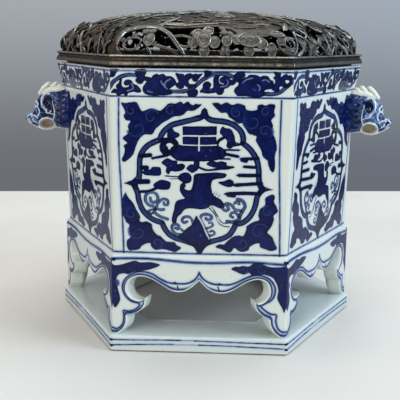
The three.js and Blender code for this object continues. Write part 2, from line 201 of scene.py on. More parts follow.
def room(low_grey, high_grey, light_colour, strength):
    world = bpy.data.worlds.new("grey_room")
    world.use_nodes = True
    bpy.context.scene.world = world
    tree = world.node_tree
    tree.nodes.clear()
    path = add_node(tree, "LightPath").outputs
    camera_ray, glossy_ray, through_ray = (Step(path[f"Is {kind} Ray"])
                                           for kind in ("Camera", "Glossy", "Transmission"))
    seen = (camera_ray + glossy_ray).maths("ADD", through_ray, clamp=True)
    x, y, z = Step(add_node(tree, "TexCoord").outputs["Generated"]).parts()
    grey = z.ramp(-0.17, 0.075).mix(low_grey, high_grey)
    # Bluish towards the right: painted cool window light on the backdrop and in what shiny surfaces
    # see.
    grey = x.ramp(-0.1, 0.35).mix(grey, (0.94, 1.02, 1.12, 1), "MULTIPLY")
    # Ahead of the object shiny surfaces see near black: a painted dark reflection.
    front = y.ramp(-0.30, 0.25, 0.75, 0.0) * glossy_ray
    show = add_node(tree, "Background", {"Color": front.mix(grey, (0.02, 0.022, 0.026, 1))})
    lamp = add_node(tree, "Background", {"Color": light_colour, "Strength": strength})
    both = add_node(tree, "MixShader", (seen, Step(lamp.outputs[0]), Step(show.outputs[0])))
    add_node(tree, "OutputWorld", [Step(both.outputs[0])])


room((0.148, 0.158, 0.175, 1), (0.385, 0.415, 0.450, 1), (0.95, 0.97, 1.0, 1), 0.60)


# %% [markdown]
# Three big soft lamps stand in for the windows of a room: a cool one high on the right, a
# warmer one in front on the left, and one over the back that wakes the cover's bronze.

# %% Lamps
def soft_lamp(name, place, aim_height, size, power, colour):
    """A square area lamp whose -Z axis is turned at a height over the frame's middle."""
    data = bpy.data.lights.new(name, "AREA")
    data.shape, data.size, data.energy, data.color = "SQUARE", size, power, colour
    lamp = bpy.data.objects.new(name, data)
    bpy.context.scene.collection.objects.link(lamp)
    lamp.location = place
    aim = Vector((0, 0, aim_height)) - Vector(place)
    lamp.rotation_euler = aim.to_track_quat("-Z", "Y").to_euler()


soft_lamp("window_right", (1.45, -0.45, 1.0), 0.08, 1.0, 20, (0.62, 0.82, 1.0))
soft_lamp("window_left", (-0.6, -1.5, 0.95), 0.08, 1.0, 10.5, (1.0, 0.93, 0.80))
soft_lamp("skylight", (0.05, 0.30, 1.5), 0.10, 1.1, 11, (1.0, 0.98, 0.94))


# %% [markdown]
# Every new surface is a grid of points. The grid may close on itself in either direction,
# and its open ends may be capped, which keeps each piece a closed solid. The sign of the
# enclosed volume tells whether the faces look outwards.

# %% Grids to meshes
def neighbours(grid):
    """The four corners of each square of a grid, in turning order."""
    return np.stack((grid[:-1, :-1], grid[:-1, 1:], grid[1:, 1:], grid[1:, :-1]), axis=-1)


def grid_faces(rows, columns, close_rows=False, close_columns=False):
    """Quads between neighbouring rows and columns, the last joined to the first if closed."""
    index = np.arange(rows * columns).reshape(rows, columns)
    if close_rows:
        index = np.concatenate((index, index[:1]))
    if close_columns:
        index = np.concatenate((index, index[:, :1]), axis=1)
    return neighbours(index).reshape(-1, 4)


def many_faces(count, rings, around):
    """Quads and caps of many equal tubes at once, each a stack of rings."""
    start = np.arange(count)[:, None] * rings * around
    quads = grid_faces(rings, around, close_columns=True) + start[..., None]
    first = start + np.arange(around)
    return quads.reshape(-1, 4), [*first[:, ::-1], *(first + (rings - 1) * around)]


def enclosed_volume(points, quads, caps):
    """Sum of the signed volumes of the tetrahedra from the origin to each triangle."""
    total = 0.0
    for a, b, c in ((0, 1, 2), (0, 2, 3)):
        p, q, r = (points[quads[:, k]] for k in (a, b, c))
        total += np.einsum("ij,ij->i", p, np.cross(q, r)).sum() / 6
    for cap in caps:
        p, q, r = points[cap[0]], points[cap[1:-1]], points[cap[2:]]
        total += (np.cross(q, r) @ p).sum() / 6
    return total


def build_mesh(name, points, quads, caps=(), sharp=35.0):
    """Writes a mesh with foreach_set and shades it smooth up to an edge angle."""
    points = np.asarray(points, float).reshape(-1, 3)
    caps = [np.asarray(cap) for cap in caps]
    if enclosed_volume(points, quads, caps) < 0:
        quads, caps = quads[:, ::-1], [cap[::-1] for cap in caps]
    loops = np.concatenate([quads.ravel(), *caps]).astype(np.int32)
    counts = np.concatenate((np.full(len(quads), 4), [len(cap) for cap in caps]))
    starts = np.concatenate(([0], np.cumsum(counts)[:-1])).astype(np.int32)
    mesh = bpy.data.meshes.new(name)
    mesh.vertices.add(len(points))
    mesh.vertices.foreach_set("co", (points * MM).ravel())
    mesh.loops.add(len(loops))
    mesh.loops.foreach_set("vertex_index", loops)
    mesh.polygons.add(len(starts))
    mesh.polygons.foreach_set("loop_start", starts)
    mesh.update(calc_edges=True)
    mesh.validate()
    mesh.shade_smooth()
    mesh.set_sharp_from_angle(angle=math.radians(sharp))
    return mesh


def grid_mesh(name, points, close_rows=False, close_columns=False, capped=False, sharp=35.0):
    """The mesh of one grid. Caps close the open ends of a grid that is a tube."""
    rows, columns = points.shape[:2]
    index = np.arange(rows * columns).reshape(rows, columns)
    first, last = (index[:, 0], index[:, -1]) if close_rows else (index[0], index[-1])
    return build_mesh(name, points, grid_faces(rows, columns, close_rows, close_columns),
                      [first[::-1], last] if capped else (), sharp)


def add_piece(name, mesh, material, body=None, slot=None, replaced=()):
    """Links a mesh as an object, hangs it under the empty of its body and hides the parts it
    replaces.
    """
    piece = bpy.data.objects.new(name, mesh)
    bpy.context.scene.collection.objects.link(piece)
    mesh.materials.append(material)
    if body is None:
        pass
    else:
        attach(piece, body)
    if replaced:
        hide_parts(*replaced)
    print(name, len(mesh.polygons), "faces")


def set_attributes(mesh, values):
    """Stores one number per vertex under each name, for the materials to read."""
    for name, numbers in values.items():
        layer = mesh.attributes.new(name, "FLOAT", "POINT")
        layer.data.foreach_set("value", np.ascontiguousarray(numbers, np.float32).ravel())


add_piece("table_cloth", grid_mesh("table_cloth", table_top()), cloth_material())

# %% [markdown]
# A brush mark can be kept as a number: how many millimetres a point lies inside the mark.
# Where the number is above zero there is paint. The shader turns it into a crisp edge, a
# darker rim or a soft bleed, which a plain painted image couldn't do at every distance.

# %% Brush marks
FAR = -6.0
TONES = ("ink", "body", "wash")


def unit(vectors):
    """The same directions with a length of one."""
    return vectors / np.linalg.norm(vectors, axis=-1, keepdims=True)


def run_along(line):
    """How far along a line each of its points lies."""
    return np.concatenate(([0], np.cumsum(np.linalg.norm(np.diff(line, axis=0), axis=1))))


def full_circle(count):
    return np.linspace(0, 2 * math.pi, count, endpoint=False)


def smooth_line(points, closed=False, steps=6):
    """Curve through points: on each stretch a cubic whose slope at either end is half of the
    line between the neighbours of that end."""
    points = np.asarray(points, float)
    if closed:
        padded = np.concatenate((points[-1:], points, points[:2]))
    else:
        padded = np.concatenate((points[:1], points, points[-1:]))
    share = np.linspace(0, 1, steps, endpoint=False)[None, :, None]
    a, b, c, d = (padded[k:len(padded) - 3 + k, None] for k in range(4))
    curve = 0.5 * (2 * b + (c - a) * share + (2 * a - 5 * b + 4 * c - d) * share ** 2
                   + (3 * b - a - 3 * c + d) * share ** 3)
    curve = curve.reshape(-1, points.shape[1])
    return np.concatenate((curve, curve[:1] if closed else points[-1:]))


def spiral(centre, radius, start, turns, shrink):
    """Points at a radius that falls evenly to a share of itself as the angle turns."""
    share = np.linspace(0, 1, 18)
    angle = math.radians(start) + share * turns * 2 * math.pi
    reach = radius * (1 - (1 - shrink) * share)
    return np.stack((centre[0] + reach * np.cos(angle), centre[1] + reach * np.sin(angle)), 1)


class Painting:
    """The marks on one surface with coordinates u across and v up, in millimetres. Each tone
    holds the distance inside its nearest mark, and FAR where there is none near."""

    def __init__(self, u, v):
        self.u, self.v = np.float32(u), np.float32(v)
        self.tones = {tone: np.full(u.shape, FAR, np.float32) for tone in TONES}

    def near(self, line, reach):
        low, high = line.min(0) - reach, line.max(0) + reach
        return ((self.u > low[0]) & (self.u < high[0]) & (self.v > low[1]) & (self.v < high[1]))

    def distance(self, line, widths, where):
        """Largest of the half width less the distance, over the stretches of a line."""
        u, v = self.u[where], self.v[where]
        inside, widths = np.full(u.shape, FAR, np.float32), np.broadcast_to(widths, len(line))
        for a, b, first, last in zip(line[:-1], line[1:], widths[:-1], widths[1:]):
            du, dv = b - a
            square = max(du * du + dv * dv, 1e-9)
            along = np.clip(((u - a[0]) * du + (v - a[1]) * dv) / square, 0, 1)
            away = np.hypot(u - a[0] - along * du, v - a[1] - along * dv)
            np.maximum(inside, (first + (last - first) * along) / 2 - away, out=inside)
        return inside

    def raise_to(self, tone, where, inside):
        held = self.tones[tone]
        held[where] = np.maximum(held[where], inside)

    def stroke(self, points, width, ends=(1.0, 1.0), smooth=True, tone="ink"):
        """A line of the brush. The ends say what share of its width it starts and ends with."""
        line = smooth_line(points) if smooth else np.asarray(points, float)
        share = np.linspace(0, 1, len(line))
        swell = np.minimum(1, np.minimum(ends[0] + 4 * share, ends[1] + 4 * (1 - share)))
        where = self.near(line, width + 2)
        self.raise_to(tone, where, self.distance(line, width * swell, where))

    def washed(self, points, ink, wash):
        """A dark line over a wider pale one."""
        self.stroke(points, ink)
        self.stroke(points, wash, tone="wash")

    def scratch(self, points, width, smooth=True, tones=TONES):
        """A line left white: each tone is cut back to outside of it."""
        line = smooth_line(points) if smooth else np.asarray(points, float)
        where = self.near(line, width + 2)
        inside = self.distance(line, width, where)
        for tone in tones:
            held = self.tones[tone]
            held[where] = np.minimum(held[where], -inside)

    def outlined(self, lines, width, edge):
        """Lines with dark edges and a washed middle, which run into one another."""
        inside = np.full(self.u.shape, FAR, np.float32)
        for points in lines:
            line = smooth_line(points)
            where = self.near(line, width + 2)
            inside[where] = np.maximum(inside[where], self.distance(line, width, where))
        everywhere = np.ones(self.u.shape, bool)
        self.raise_to("wash", everywhere, inside.ravel())
        self.raise_to("ink", everywhere, np.minimum(inside, edge - inside).ravel())

    def area(self, points, smooth=True, rim=0.0, tone="body"):
        """A filled outline: the distance to it, positive where a ray crosses it an odd number
        of times. A rim draws the same outline again in ink."""
        line = smooth_line(points, True) if smooth else np.asarray([*points, points[0]], float)
        where = self.near(line, 2.5)
        u, v = self.u[where], self.v[where]
        away = -self.distance(line, 0, where)
        odd = np.zeros(u.shape, bool)
        for a, b in zip(line[:-1], line[1:]):
            crossed = (a[1] > v) != (b[1] > v)
            rise = b[1] - a[1] if b[1] != a[1] else 1e-9
            odd ^= crossed & (u < a[0] + (v - a[1]) / rise * (b[0] - a[0]))
        self.raise_to(tone, where, np.where(odd, away, -away))
        if rim:
            self.raise_to("ink", where, rim / 2 - away)

    def scallops(self, outline, radius):
        """Rounds the blunt points of an outline into lobes: discs that touch it from inside."""
        points = np.asarray(outline, float)
        along = unit(np.roll(points, -1, 0) - np.roll(points, 1, 0))
        x, y = points.T
        turn = np.sign((x * np.roll(y, -1) - np.roll(x, -1) * y).sum())
        centres = points + turn * radius * np.stack((-along[:, 1], along[:, 0]), 1)
        before, after = points - np.roll(points, 1, 0), np.roll(points, -1, 0) - points
        gentle = (before * after).sum(1) > 0
        for centre in centres[gentle]:
            self.stroke([centre, centre + 0.05], 2 * radius, smooth=False, tone="body")

    def pale_curl(self, centre, radius, start, turns, width):
        """A spiral hook wiped out of the dark tones, so that only its wash shows."""
        points = spiral(centre, radius, start, turns, 0.25)
        self.scratch(points, width, False, ("ink", "body"))
        self.stroke(points, width + 1.8, smooth=False, tone="wash")


# %% [markdown]
# The plan of every level is a slightly flattened hexagon. One long grid goes up the outside
# of a side, over its top and down the inside. Its columns run from corner to corner, and
# short arcs at both ends round the arris, so that six sides meet without a seam.

# %% Hexagonal plan and its sides
# A pull draws the side corners in, and FINE is the number of squares along a side
BODY_PULL, MOUTH_PULL, FINE = 0.051, 0.0155, 224
FACES = ["back_right", "back", "back_left", "front_left", "front", "front_right"]


def hexagon(edge, pull, inset=0.0):
    """Six corners with sides of one length. An inset moves each side inwards along its
    normal, and a corner goes along the sum of its two normals over 1 + their product."""
    half, depth = edge / 2, edge * math.sqrt(1 - (0.5 - pull) ** 2)
    side = edge * (1 - pull)
    corners = np.array([(side, 0), (half, depth), (-half, depth), (-side, 0),
                        (-half, -depth), (half, -depth)])
    along = unit(np.roll(corners, -1, 0) - corners)
    inward = np.stack((-along[:, 1], along[:, 0]), 1)
    before = np.roll(inward, 1, 0)
    return corners + inset * (before + inward) / (1 + (before * inward).sum(1, keepdims=True))


def levels(profile):
    """Stacks hexagons: each row of the profile is (height, edge, pull, inset)."""
    rows = [np.column_stack((hexagon(edge, pull, inset), np.full(6, z)))
            for z, edge, pull, inset in profile]
    return np.array(rows)


def at_edge(edge, pull, steps):
    """Profile rows of one edge and pull, from steps of (height, inset)."""
    return [(z, edge, pull, inset) for z, inset in steps]


def between(first, last, count):
    """Rows or steps from one to another, evenly spaced."""
    share = np.linspace(0, 1, count)[:, None]
    return [tuple(row) for row in np.asarray(first) * (1 - share) + np.asarray(last) * share]


def side_grid(corners, face, arris, flat, arc=5):
    """Points of one side, rows by columns, and their distance u from its middle. An arc of
    radius r turns by half of the corner's angle a: along the side it lies r sin(turn) inside
    the tangent point, which is r tan(a) from the corner, and it sinks by r (1 - cos(turn))."""
    before, start, end, after = (corners[:, (face + k) % 6] for k in (-1, 0, 1, 2))
    sides = [unit(start - before), unit(end - start), unit(after - end)]
    half_turn = [0.5 * np.arccos(np.clip((p * q).sum(1), -1, 1)) for p, q in zip(sides, sides[1:])]
    length = np.linalg.norm(end - start, axis=1)
    radius = np.broadcast_to(arris, length.shape)
    turns = [h[:, None] * np.linspace(1, 0, arc + 1) for h in half_turn]
    tangent = [radius * np.tan(h) for h in half_turn]
    ends = [length[:, None] / 2 - t[:, None] + radius[:, None] * np.sin(w)
            for t, w in zip(tangent, turns)]
    share = np.linspace(-1, 1, flat + 1)[1:-1]
    low, high = -(length / 2 - tangent[0]), length / 2 - tangent[1]
    middle = (low + high)[:, None] / 2 + (high - low)[:, None] / 2 * share
    u = np.concatenate((-ends[0], middle, ends[1][:, ::-1]), 1)
    sink = [radius[:, None] * (1 - np.cos(w)) for w in turns]
    drop = np.concatenate((sink[0], np.zeros_like(middle), sink[1][:, ::-1]), 1)
    along, centre = sides[1], (start + end) / 2
    inward = np.stack((-along[:, 1], along[:, 0], np.zeros(len(u))), 1)
    points = centre[:, None] + u[..., None] * along[:, None] + drop[..., None] * inward[:, None]
    return points, u


def climb(corners, face):
    """Height along the slanting middle of a side, from its first row."""
    return run_along((corners[:, face] + corners[:, (face + 1) % 6]) / 2)


print("wall plan", hexagon(90, BODY_PULL).round(1).tolist())


# %% [markdown]
# Cobalt under a glaze is darkest where the brush stopped or went twice, thins to a watery
# blue in its washes and bleeds a little. One node group mixes these tones over the white
# body from three distances, and every painted surface uses it.

# %% Cobalt under the glaze
WHITE = (0.67, 0.70, 0.655, 1)


def cobalt_group():
    """Takes the white body, the distance inside each tone, and where the paint is thin."""
    group = bpy.data.node_groups.new("cobalt_under_glaze", "ShaderNodeTree")
    given = {"White": WHITE, "Ink": FAR, "Body": FAR, "Wash": FAR, "Thin": 0.0}
    for label, value in given.items():
        kind = "NodeSocketColor" if label == "White" else "NodeSocketFloat"
        group.interface.new_socket(label, in_out="INPUT", socket_type=kind).default_value = value
    group.interface.new_socket("Colour", in_out="OUTPUT", socket_type="NodeSocketColor")
    sockets = group.nodes.new("NodeGroupInput").outputs
    white, in_ink, in_body, in_wash, thin = (Step(sockets[label]) for label in given)
    place = object_place(group)
    mottle, broad = place.noise(260.0, 4.0, 0.6), place.noise(60.0, 2.0)
    shake = (mottle - 0.5) * 0.5
    ink = (in_ink + shake).ramp(-0.10, 0.14)
    body = (in_body + shake).ramp(-0.12, 0.16)
    wash = (in_wash + shake).ramp(-0.20, 0.30)
    bleed = in_ink.maths("MAXIMUM", in_body).maths("MAXIMUM", in_wash).ramp(-1.3, 0.1)
    pale = (bleed * 0.34).mix(white, (0.30, 0.42, 0.60, 1))
    watery = in_wash.ramp(0.15, 1.0).mix((0.075, 0.150, 0.400, 1), (0.012, 0.034, 0.130, 1))
    colour = (wash * in_wash.ramp(0.1, 0.9, 0.82, 1.0)).mix(pale, watery)
    pooled = mottle.ramp(0.35, 0.75).mix((0.0008, 0.0025, 0.030, 1), (0.0030, 0.0150, 0.120, 1))
    pooled = (in_body.ramp(0.1, 1.6) * broad).mix(pooled, (0.0025, 0.0060, 0.075, 1))
    blots = place.noise(330.0, 3.0, 0.65).ramp(0.40, 0.62)
    pooled = (blots * thin).mix(pooled, (0.130, 0.240, 0.520, 1))
    dark = mottle.mix((0.0006, 0.0014, 0.014, 1), (0.0018, 0.0050, 0.040, 1))
    fill(group.nodes.new("NodeGroupOutput"), [ink.mix(body.mix(colour, pooled), dark)])
    return group


cobalt = cobalt_group()


def porcelain(name, white=WHITE, unglazed=None, mouth=False):
    """Glossy glaze, faintly uneven, over a white body with its painting. Below the height
    unglazed, in millimetres, the bare clay shows, and so it does in a mouth."""
    material, shader, place = new_material(name)
    cloud = place.noise(18.0, 2.0)
    marks = {tone.capitalize(): attribute(place.tree, tone) for tone in (*TONES, "thin")}
    marks["White"] = cloud.mix(white, (white[0] * 0.93, white[1] * 0.98, white[2], 1))
    painted = Step(add_node(place.tree, "Group", marks, node_tree=cobalt).outputs["Colour"])
    speck = place.noise(520.0, 1.0).ramp(0.74, 0.80, 0.0, 0.35)
    colour, rough = speck.mix(painted, (0.22, 0.20, 0.17, 1)), cloud.ramp(0.3, 0.7, 0.10, 0.17)
    if unglazed is not None:
        height = place.parts()[2] + place.noise(90.0) * 0.0006
        clay = height.ramp(unglazed * MM, (unglazed + 0.7) * MM, 1.0, 0.0)
        colour, rough = clay.mix(colour, (0.20, 0.125, 0.075, 1)), rough + clay * 0.6
    if mouth:
        clay = attribute(place.tree, "clay")
        earth = place.noise(300.0).mix((0.26, 0.20, 0.14, 1), (0.52, 0.46, 0.39, 1))
        colour, rough = clay.mix(colour, earth), rough + clay * 0.6
    ripple = place.noise(75.0, 2.0).bump(0.22, 0.0012)
    fill(shader, {"Base Color": colour, "Roughness": rough, "IOR": 1.5, "Specular IOR Level": 0.42,
                  "Normal": place.noise(600.0, 1.0).bump(0.05, 0.0002, ripple)})
    return material


glaze = porcelain("painted_porcelain")
print("materials", len(bpy.data.materials))

# %% [markdown]
# Each wall carries the same picture: a lobed medallion with a double outline, a trigram over
# a cloud collar, and a crane that flies over breaking waves, with scalloped clouds in the
# four corners. Each outline keeps only the points at which the brush changed its mind.

# %% Corner clouds
CORNER_CLOUDS = [
    [(-39.2, 76.9), (-37, 77), (-32, 77.5), (-29, 73.3), (-24.5, 74.5), (-20, 73.5), (-16, 77),
     (-12.5, 77.2), (-10, 78), (-8.7, 77), (-6.5, 78.2), (-4, 76.5), (0.2, 77), (-1.7, 75),
     (-4.2, 73.8), (-6.7, 73.8), (-9.2, 71.5), (-13, 71), (-16, 69.4), (-19.2, 67.5), (-22.2, 64.8),
     (-24.2, 61.9), (-28.1, 61.8), (-30.4, 59.6), (-32.3, 56), (-33.8, 51.7), (-37.5, 48.1),
     (-39.3, 48.3), (-37.8, 53.3), (-38.2, 55.8), (-36.5, 57.3), (-38.8, 59.6), (-36, 62.1),
     (-36, 65.8), (-34.8, 68.3), (-37.2, 68.8), (-38.2, 70.8), (-37.3, 72.5)],
    [(5.5, 77.4), (8, 78), (9.9, 77.1), (12.6, 78.1), (15.3, 76.9), (18, 77.7), (21.3, 76.7),
     (22.4, 74.6), (27.3, 74.6), (27.8, 76.7), (29.7, 77.4), (31.8, 76.8), (33.8, 77.7),
     (36.2, 76.9), (35.7, 73.8), (36.1, 72), (34.7, 69.8), (35.3, 67), (34.9, 63.3), (36.5, 61.3),
     (37.6, 56.3), (36.8, 52.5), (36.9, 45.4), (35.6, 43.8), (33.8, 47.1), (33.2, 49.6),
     (30.9, 51.7), (29.7, 55), (27.4, 59.2), (27.5, 61.7), (23.8, 62.9), (22.2, 65.4), (20.5, 68.3),
     (18.6, 67.9), (15.9, 69.6), (13.8, 71), (12.6, 73.1), (9.7, 73.2), (8, 74.6)],
    [(-37.8, 32), (-36.7, 29.9), (-33.6, 26), (-32.1, 22.8), (-30.6, 19.9), (-30.5, 17.4),
     (-29, 16.9), (-27.1, 17.2), (-24.6, 15.8), (-24, 13.3), (-22.3, 10.8), (-20, 9.5), (-17.5, 7),
     (-15.8, 6.8), (-12.9, 6.4), (-11.7, 4.9), (-9.6, 3.7), (-10.8, 2.4), (-12.9, 1.4),
     (-17.5, 2.5), (-20, 2.8), (-22.5, 2.3), (-24.6, 3.7), (-25.6, 5.8), (-29.4, 4.5), (-31.3, 2.4),
     (-34.6, 1.7), (-36.8, 2.4), (-37.3, 6.6), (-35, 9.1), (-35.9, 12), (-36, 15.3), (-37.9, 17),
     (-39.2, 22), (-39.2, 27.8)],
    [(36.5, 32.3), (37.4, 30.8), (37, 29), (38.2, 26.6), (39, 23.7), (37, 21.6), (37.3, 19.3),
     (36.3, 16.2), (34.3, 12.8), (36.8, 10.3), (38.1, 7), (39, 4.1), (35.9, 3), (33.4, 3.9),
     (30.9, 4.9), (30.1, 7), (25.7, 5.3), (24.7, 3.3), (22.6, 2.4), (20.1, 2.6), (17.6, 4.2),
     (16.3, 2.4), (14.7, 1.7), (11.8, 3), (8.2, 4.5), (10.1, 6), (12.6, 6), (14, 7.6), (17.2, 10.1),
     (19.7, 10.8), (22.2, 10.8), (23.6, 14), (23.8, 15.6), (26.8, 17.8), (29.7, 19.1), (29.5, 21.6),
     (30.3, 24.9), (32.6, 26.6), (32.8, 30.3), (34.3, 31.6)]]
CLOUD_CURLS = [
    (-31.5, 64.5, 4.6, 200), (-24.5, 70.2, 4, 30), (-34.5, 73.5, 2.6, 120), (-15, 73.6, 2.8, 60),
    (25.5, 69, 4.8, 150), (31.5, 64, 4, 320), (31.8, 73.6, 2.6, 60), (17.5, 73.2, 3, 120),
    (-31.5, 11.5, 4.6, 160), (-34.8, 21, 3.2, 90), (-22, 5.8, 3, 300), (30, 12.8, 4.8, 30),
    (34.3, 23.5, 3.2, 80), (21.5, 6.6, 3.2, 240)]
LOBES = [
    [(1.7, 73.6), (0.6, 71), (-3, 69.7), (-10, 67.9), (-14.4, 66.6), (-17.6, 64.1), (-19.5, 61.5),
     (-20.4, 59)],
    [(-20.4, 59), (-22.6, 58.2), (-26.3, 56.2), (-29.2, 52.8), (-30.4, 49), (-30.6, 42.5),
     (-31.3, 38.4), (-34, 36.9)],
    [(-34, 36.9), (-32.6, 34.6), (-31.5, 31.4), (-31, 28.3), (-29.6, 24.1), (-27.1, 20.8),
     (-23.8, 18.3), (-19.2, 16.6)],
    [(-19.2, 16.6), (-17.9, 13.7), (-15.6, 10.7), (-12.4, 8.7), (-7, 7.1), (-2.5, 5.4), (0, 2)],
    [(0, 2), (2.4, 5.4), (6.3, 7.4), (11.8, 9.1), (15.1, 11.2), (17.2, 14.5), (18.2, 17)],
    [(18.2, 17), (21.3, 17.4), (24.7, 20.2), (26.8, 23.7), (28, 27.4), (28.7, 31.2), (31, 34.8)],
    [(31, 34.8), (29.6, 37.5), (29.2, 41), (29, 44.6), (28.2, 49), (26.3, 52.8), (23.8, 55.8),
     (20.9, 58.2)],
    [(20.9, 58.2), (21, 60.4), (20.1, 63.3), (18, 65.8), (14.7, 67.8), (10.4, 68.8), (5.8, 69.2),
     (3, 70.6), (1.7, 73.6)]]


def paint_frame(painting):
    """Ruled frame, medallion border with dark edges and a washed middle, corner clouds."""
    for line in ([(-40.6, 81), (-40.8, 55), (-39.6, 25), (-38.9, 0)],
                 [(39.3, 81), (39.2, 50), (40.2, 22), (40.8, 0)],
                 [(-44, 0.9), (-10, 0.6), (20, 0.7), (44, 0.8)]):
        painting.washed(line, 0.5, 1.3)
    painting.outlined(LOBES, 3.0, 0.85)
    for tip in ([(1.7, 75.4), (3.2, 72.0), (5.4, 70.4), (1.6, 70.2), (-1.8, 70.6), (0.4, 72.2)],
                [(-38.2, 36.8), (-34.4, 38.2), (-31.8, 40.6), (-31.6, 36.9), (-31.4, 33.4),
                 (-34.2, 35.6)],
                [(36.2, 34.9), (32.2, 36.2), (30, 39), (29.8, 35.4), (29.6, 31.6), (32.2, 33.8)],
                [(0.1, 0.2), (-2.2, 3.6), (-4.4, 6.0), (0.2, 6.4), (4.6, 6.2), (2.2, 3.6)]):
        painting.area(tip, smooth=False, rim=0.5)
    for notch in ((-20.2, 59), (-19, 16.7), (18.3, 17), (20.9, 58.2)):
        painting.stroke([notch, (notch[0] + 0.3, notch[1])], 2.0)
    for cloud in CORNER_CLOUDS:
        painting.area(cloud, rim=0.4)
        painting.scallops(cloud, 1.3)
    for x, y, radius, start in CLOUD_CURLS:
        painting.pale_curl((x, y), radius, start, 0.9, 0.45)


print("cloud points", sum(map(len, CORNER_CLOUDS)))

# %% [markdown]
# The picture inside the medallion is read from top to bottom. Bars are plain quads, clouds
# and the crane are filled outlines, and waves are hooks that curl in on themselves.

# %% Trigram, clouds and wisps
BARS = [(62.0, 65.9, -8.7, 7.6), (57.0, 60.7, -8.7, 7.4), (52.6, 56.2, -8.0, 7.0)]
CLOUD_COLLAR = [
    (-14.5, 55), (-12, 56.3), (-9.6, 56.4), (-4, 56), (2, 56), (8, 56.3), (11.6, 54.5),
    (12.3, 51.8), (9, 50), (4, 49.2), (-2, 49), (-9.6, 48.9), (-13, 50.2), (-15, 52.5)]


def paint_trigram(painting, solid):
    """Three bars over one another, each solid or broken in the middle."""
    for (low, high, left, right), whole, rim in zip(BARS, solid, (0.8, 0.8, 0)):
        parts = [(left, right)] if whole else [(left, -1.5), (-0.1, right)]
        for first, last in parts:
            quad = [(first, low - 0.2), (last, low + 0.2), (last, high + 0.1), (first, high - 0.2)]
            painting.area(quad, smooth=False, rim=rim)
    painting.area(CLOUD_COLLAR, rim=0.9)
    painting.scratch([(-9.2, 56.8), (0, 56.6), (8, 57)], 0.5)
    painting.scratch([(-9.2, 61.3), (0, 61.4), (8, 61.6)], 0.6)
    if not solid[2]:
        painting.scratch([(-0.8, 57), (-0.8, 54)], 0.8)


LEFT_CLOUDS = [
    [(-14.4, 64.8), (-13.2, 63.2), (-11, 62.4), (-10.9, 61.2), (-13, 60.3), (-16, 60.2),
     (-16.3, 62.5)],
    [(-19.2, 47.5), (-16.7, 49.6), (-14, 48.6), (-12, 48.4), (-11.7, 46.7), (-9.2, 47.1),
     (-7.9, 46), (-9.2, 44.2), (-12, 43.4), (-14.8, 43.6), (-16, 42.1), (-17.1, 43.3),
     (-16.8, 45.6)],
    [(-6.7, 45), (-5, 46.7), (-3.2, 46.8), (-2.9, 49), (-0.9, 48.6), (-1, 45.4), (-2.5, 43.8),
     (-4.2, 43), (-5.8, 44)],
    [(-28.3, 43.2), (-25, 43.9), (-24, 45), (-20.6, 45), (-20, 43.4), (-20.4, 41.4), (-24, 41.2),
     (-28, 41.6)],
    [(-23.4, 36), (-21.8, 37.6), (-19.6, 38.6), (-17.2, 38.2), (-15.2, 37.2), (-15.8, 34.6),
     (-18, 34), (-21.5, 34.4)]]
RIGHT_CLOUDS = [
    [(10.7, 65.9), (12, 65.2), (14.6, 64.8), (16.3, 62.1), (17, 58.6), (19.9, 57.5), (18, 56.9),
     (15.9, 56.3), (14.6, 55.5), (13, 56.5), (13.2, 59.2), (11, 61.7), (9.6, 63.3)],
    [(3.4, 47.4), (5.6, 48.8), (8, 48.2), (10.5, 48.6), (12.8, 48), (13.2, 46.6), (16.6, 46),
     (12, 44.8), (8, 45.6), (5.5, 46.2)],
    [(9.3, 38), (12, 38.6), (14.5, 39.6), (16.4, 38.6), (16.3, 36.6), (13.5, 36.2)]]


WISPS = [
    (2.1, [(-30, 50.8), (-24.4, 51.4)]), (2.3, [(-29.5, 45), (-26.5, 44.9)]),
    (2.6, [(-30.5, 37.7), (-25.8, 37.9)]), (1.3, [(-24, 49.8), (-15.5, 51.6)]),
    (1.4, [(-30, 32.6), (-26, 33), (-21, 35)]), (1.5, [(28.6, 50.5), (19.6, 50.2)]),
    (2.2, [(22.5, 49.4), (20.6, 49.8)]), (1.5, [(27.6, 46), (21.2, 46.3)]),
    (1.9, [(28.8, 42), (18.2, 41.9)]), (1.8, [(30.5, 37.9), (16, 36.8)]),
    (1.9, [(29.5, 32.6), (22, 32.8), (12.3, 32.2)]), (1.6, [(14, 31.6), (17.6, 31.2)]),
    (1, [(12, 54.6), (19.6, 54.6)]), (1.6, [(12, 52.6), (19.2, 51.3)]),
    (1.1, [(-1.6, 46), (3, 44.3), (9, 44.9), (16, 46)]), (0.9, [(10, 50.1), (15, 50.1)])]


def paint_clouds(painting):
    for cloud in LEFT_CLOUDS + RIGHT_CLOUDS:
        painting.area(cloud, rim=0.7)
    for tone, radius, width in (("ink", 4.0, 2.2), ("body", 4.2, 3.0)):
        hook = spiral((-15.2, 55.6), radius, 250, -1.15, 0.62)
        painting.stroke(hook, width, (0.6, 1.0), False, tone)
    painting.stroke([(-12.4, 58), (-15, 59.4), (-19.5, 59.2)], 2.0)
    painting.stroke([(10, 50.3), (8.2, 56.5), (9.2, 59.4), (11.5, 60.6)], 1.7, (1, 0.6))
    for width, line in WISPS:
        painting.stroke(line, width, (1.0, 0.4))
        painting.stroke(line, width + 0.4, (1.0, 0.5), tone="wash")


# %% Crane
CRANE_BODY = [
    (-2.7, 41.6), (2, 42.4), (7.6, 42.8), (12.4, 42.3), (11.8, 40.8), (6.8, 39.8), (5.3, 37.6),
    (5.3, 34.6), (6.2, 31.6), (8, 30.3), (10.5, 28.7), (11.6, 26.4), (10.4, 25), (5.9, 26.6),
    (3.2, 24.9), (0, 24.4), (-5, 24.8), (-8, 24), (-9.6, 22), (-11.7, 19.8), (-12.3, 17.2),
    (-13.4, 16.8), (-14, 18.6), (-13, 23), (-12.3, 26.8), (-10.8, 28.4), (-7.2, 29.4), (-8.9, 31.6),
    (-10, 34), (-9.4, 36.8), (-7.6, 36.3), (-8.3, 34.6), (-6.6, 33.6), (-4.4, 34), (-3.3, 37.6)]


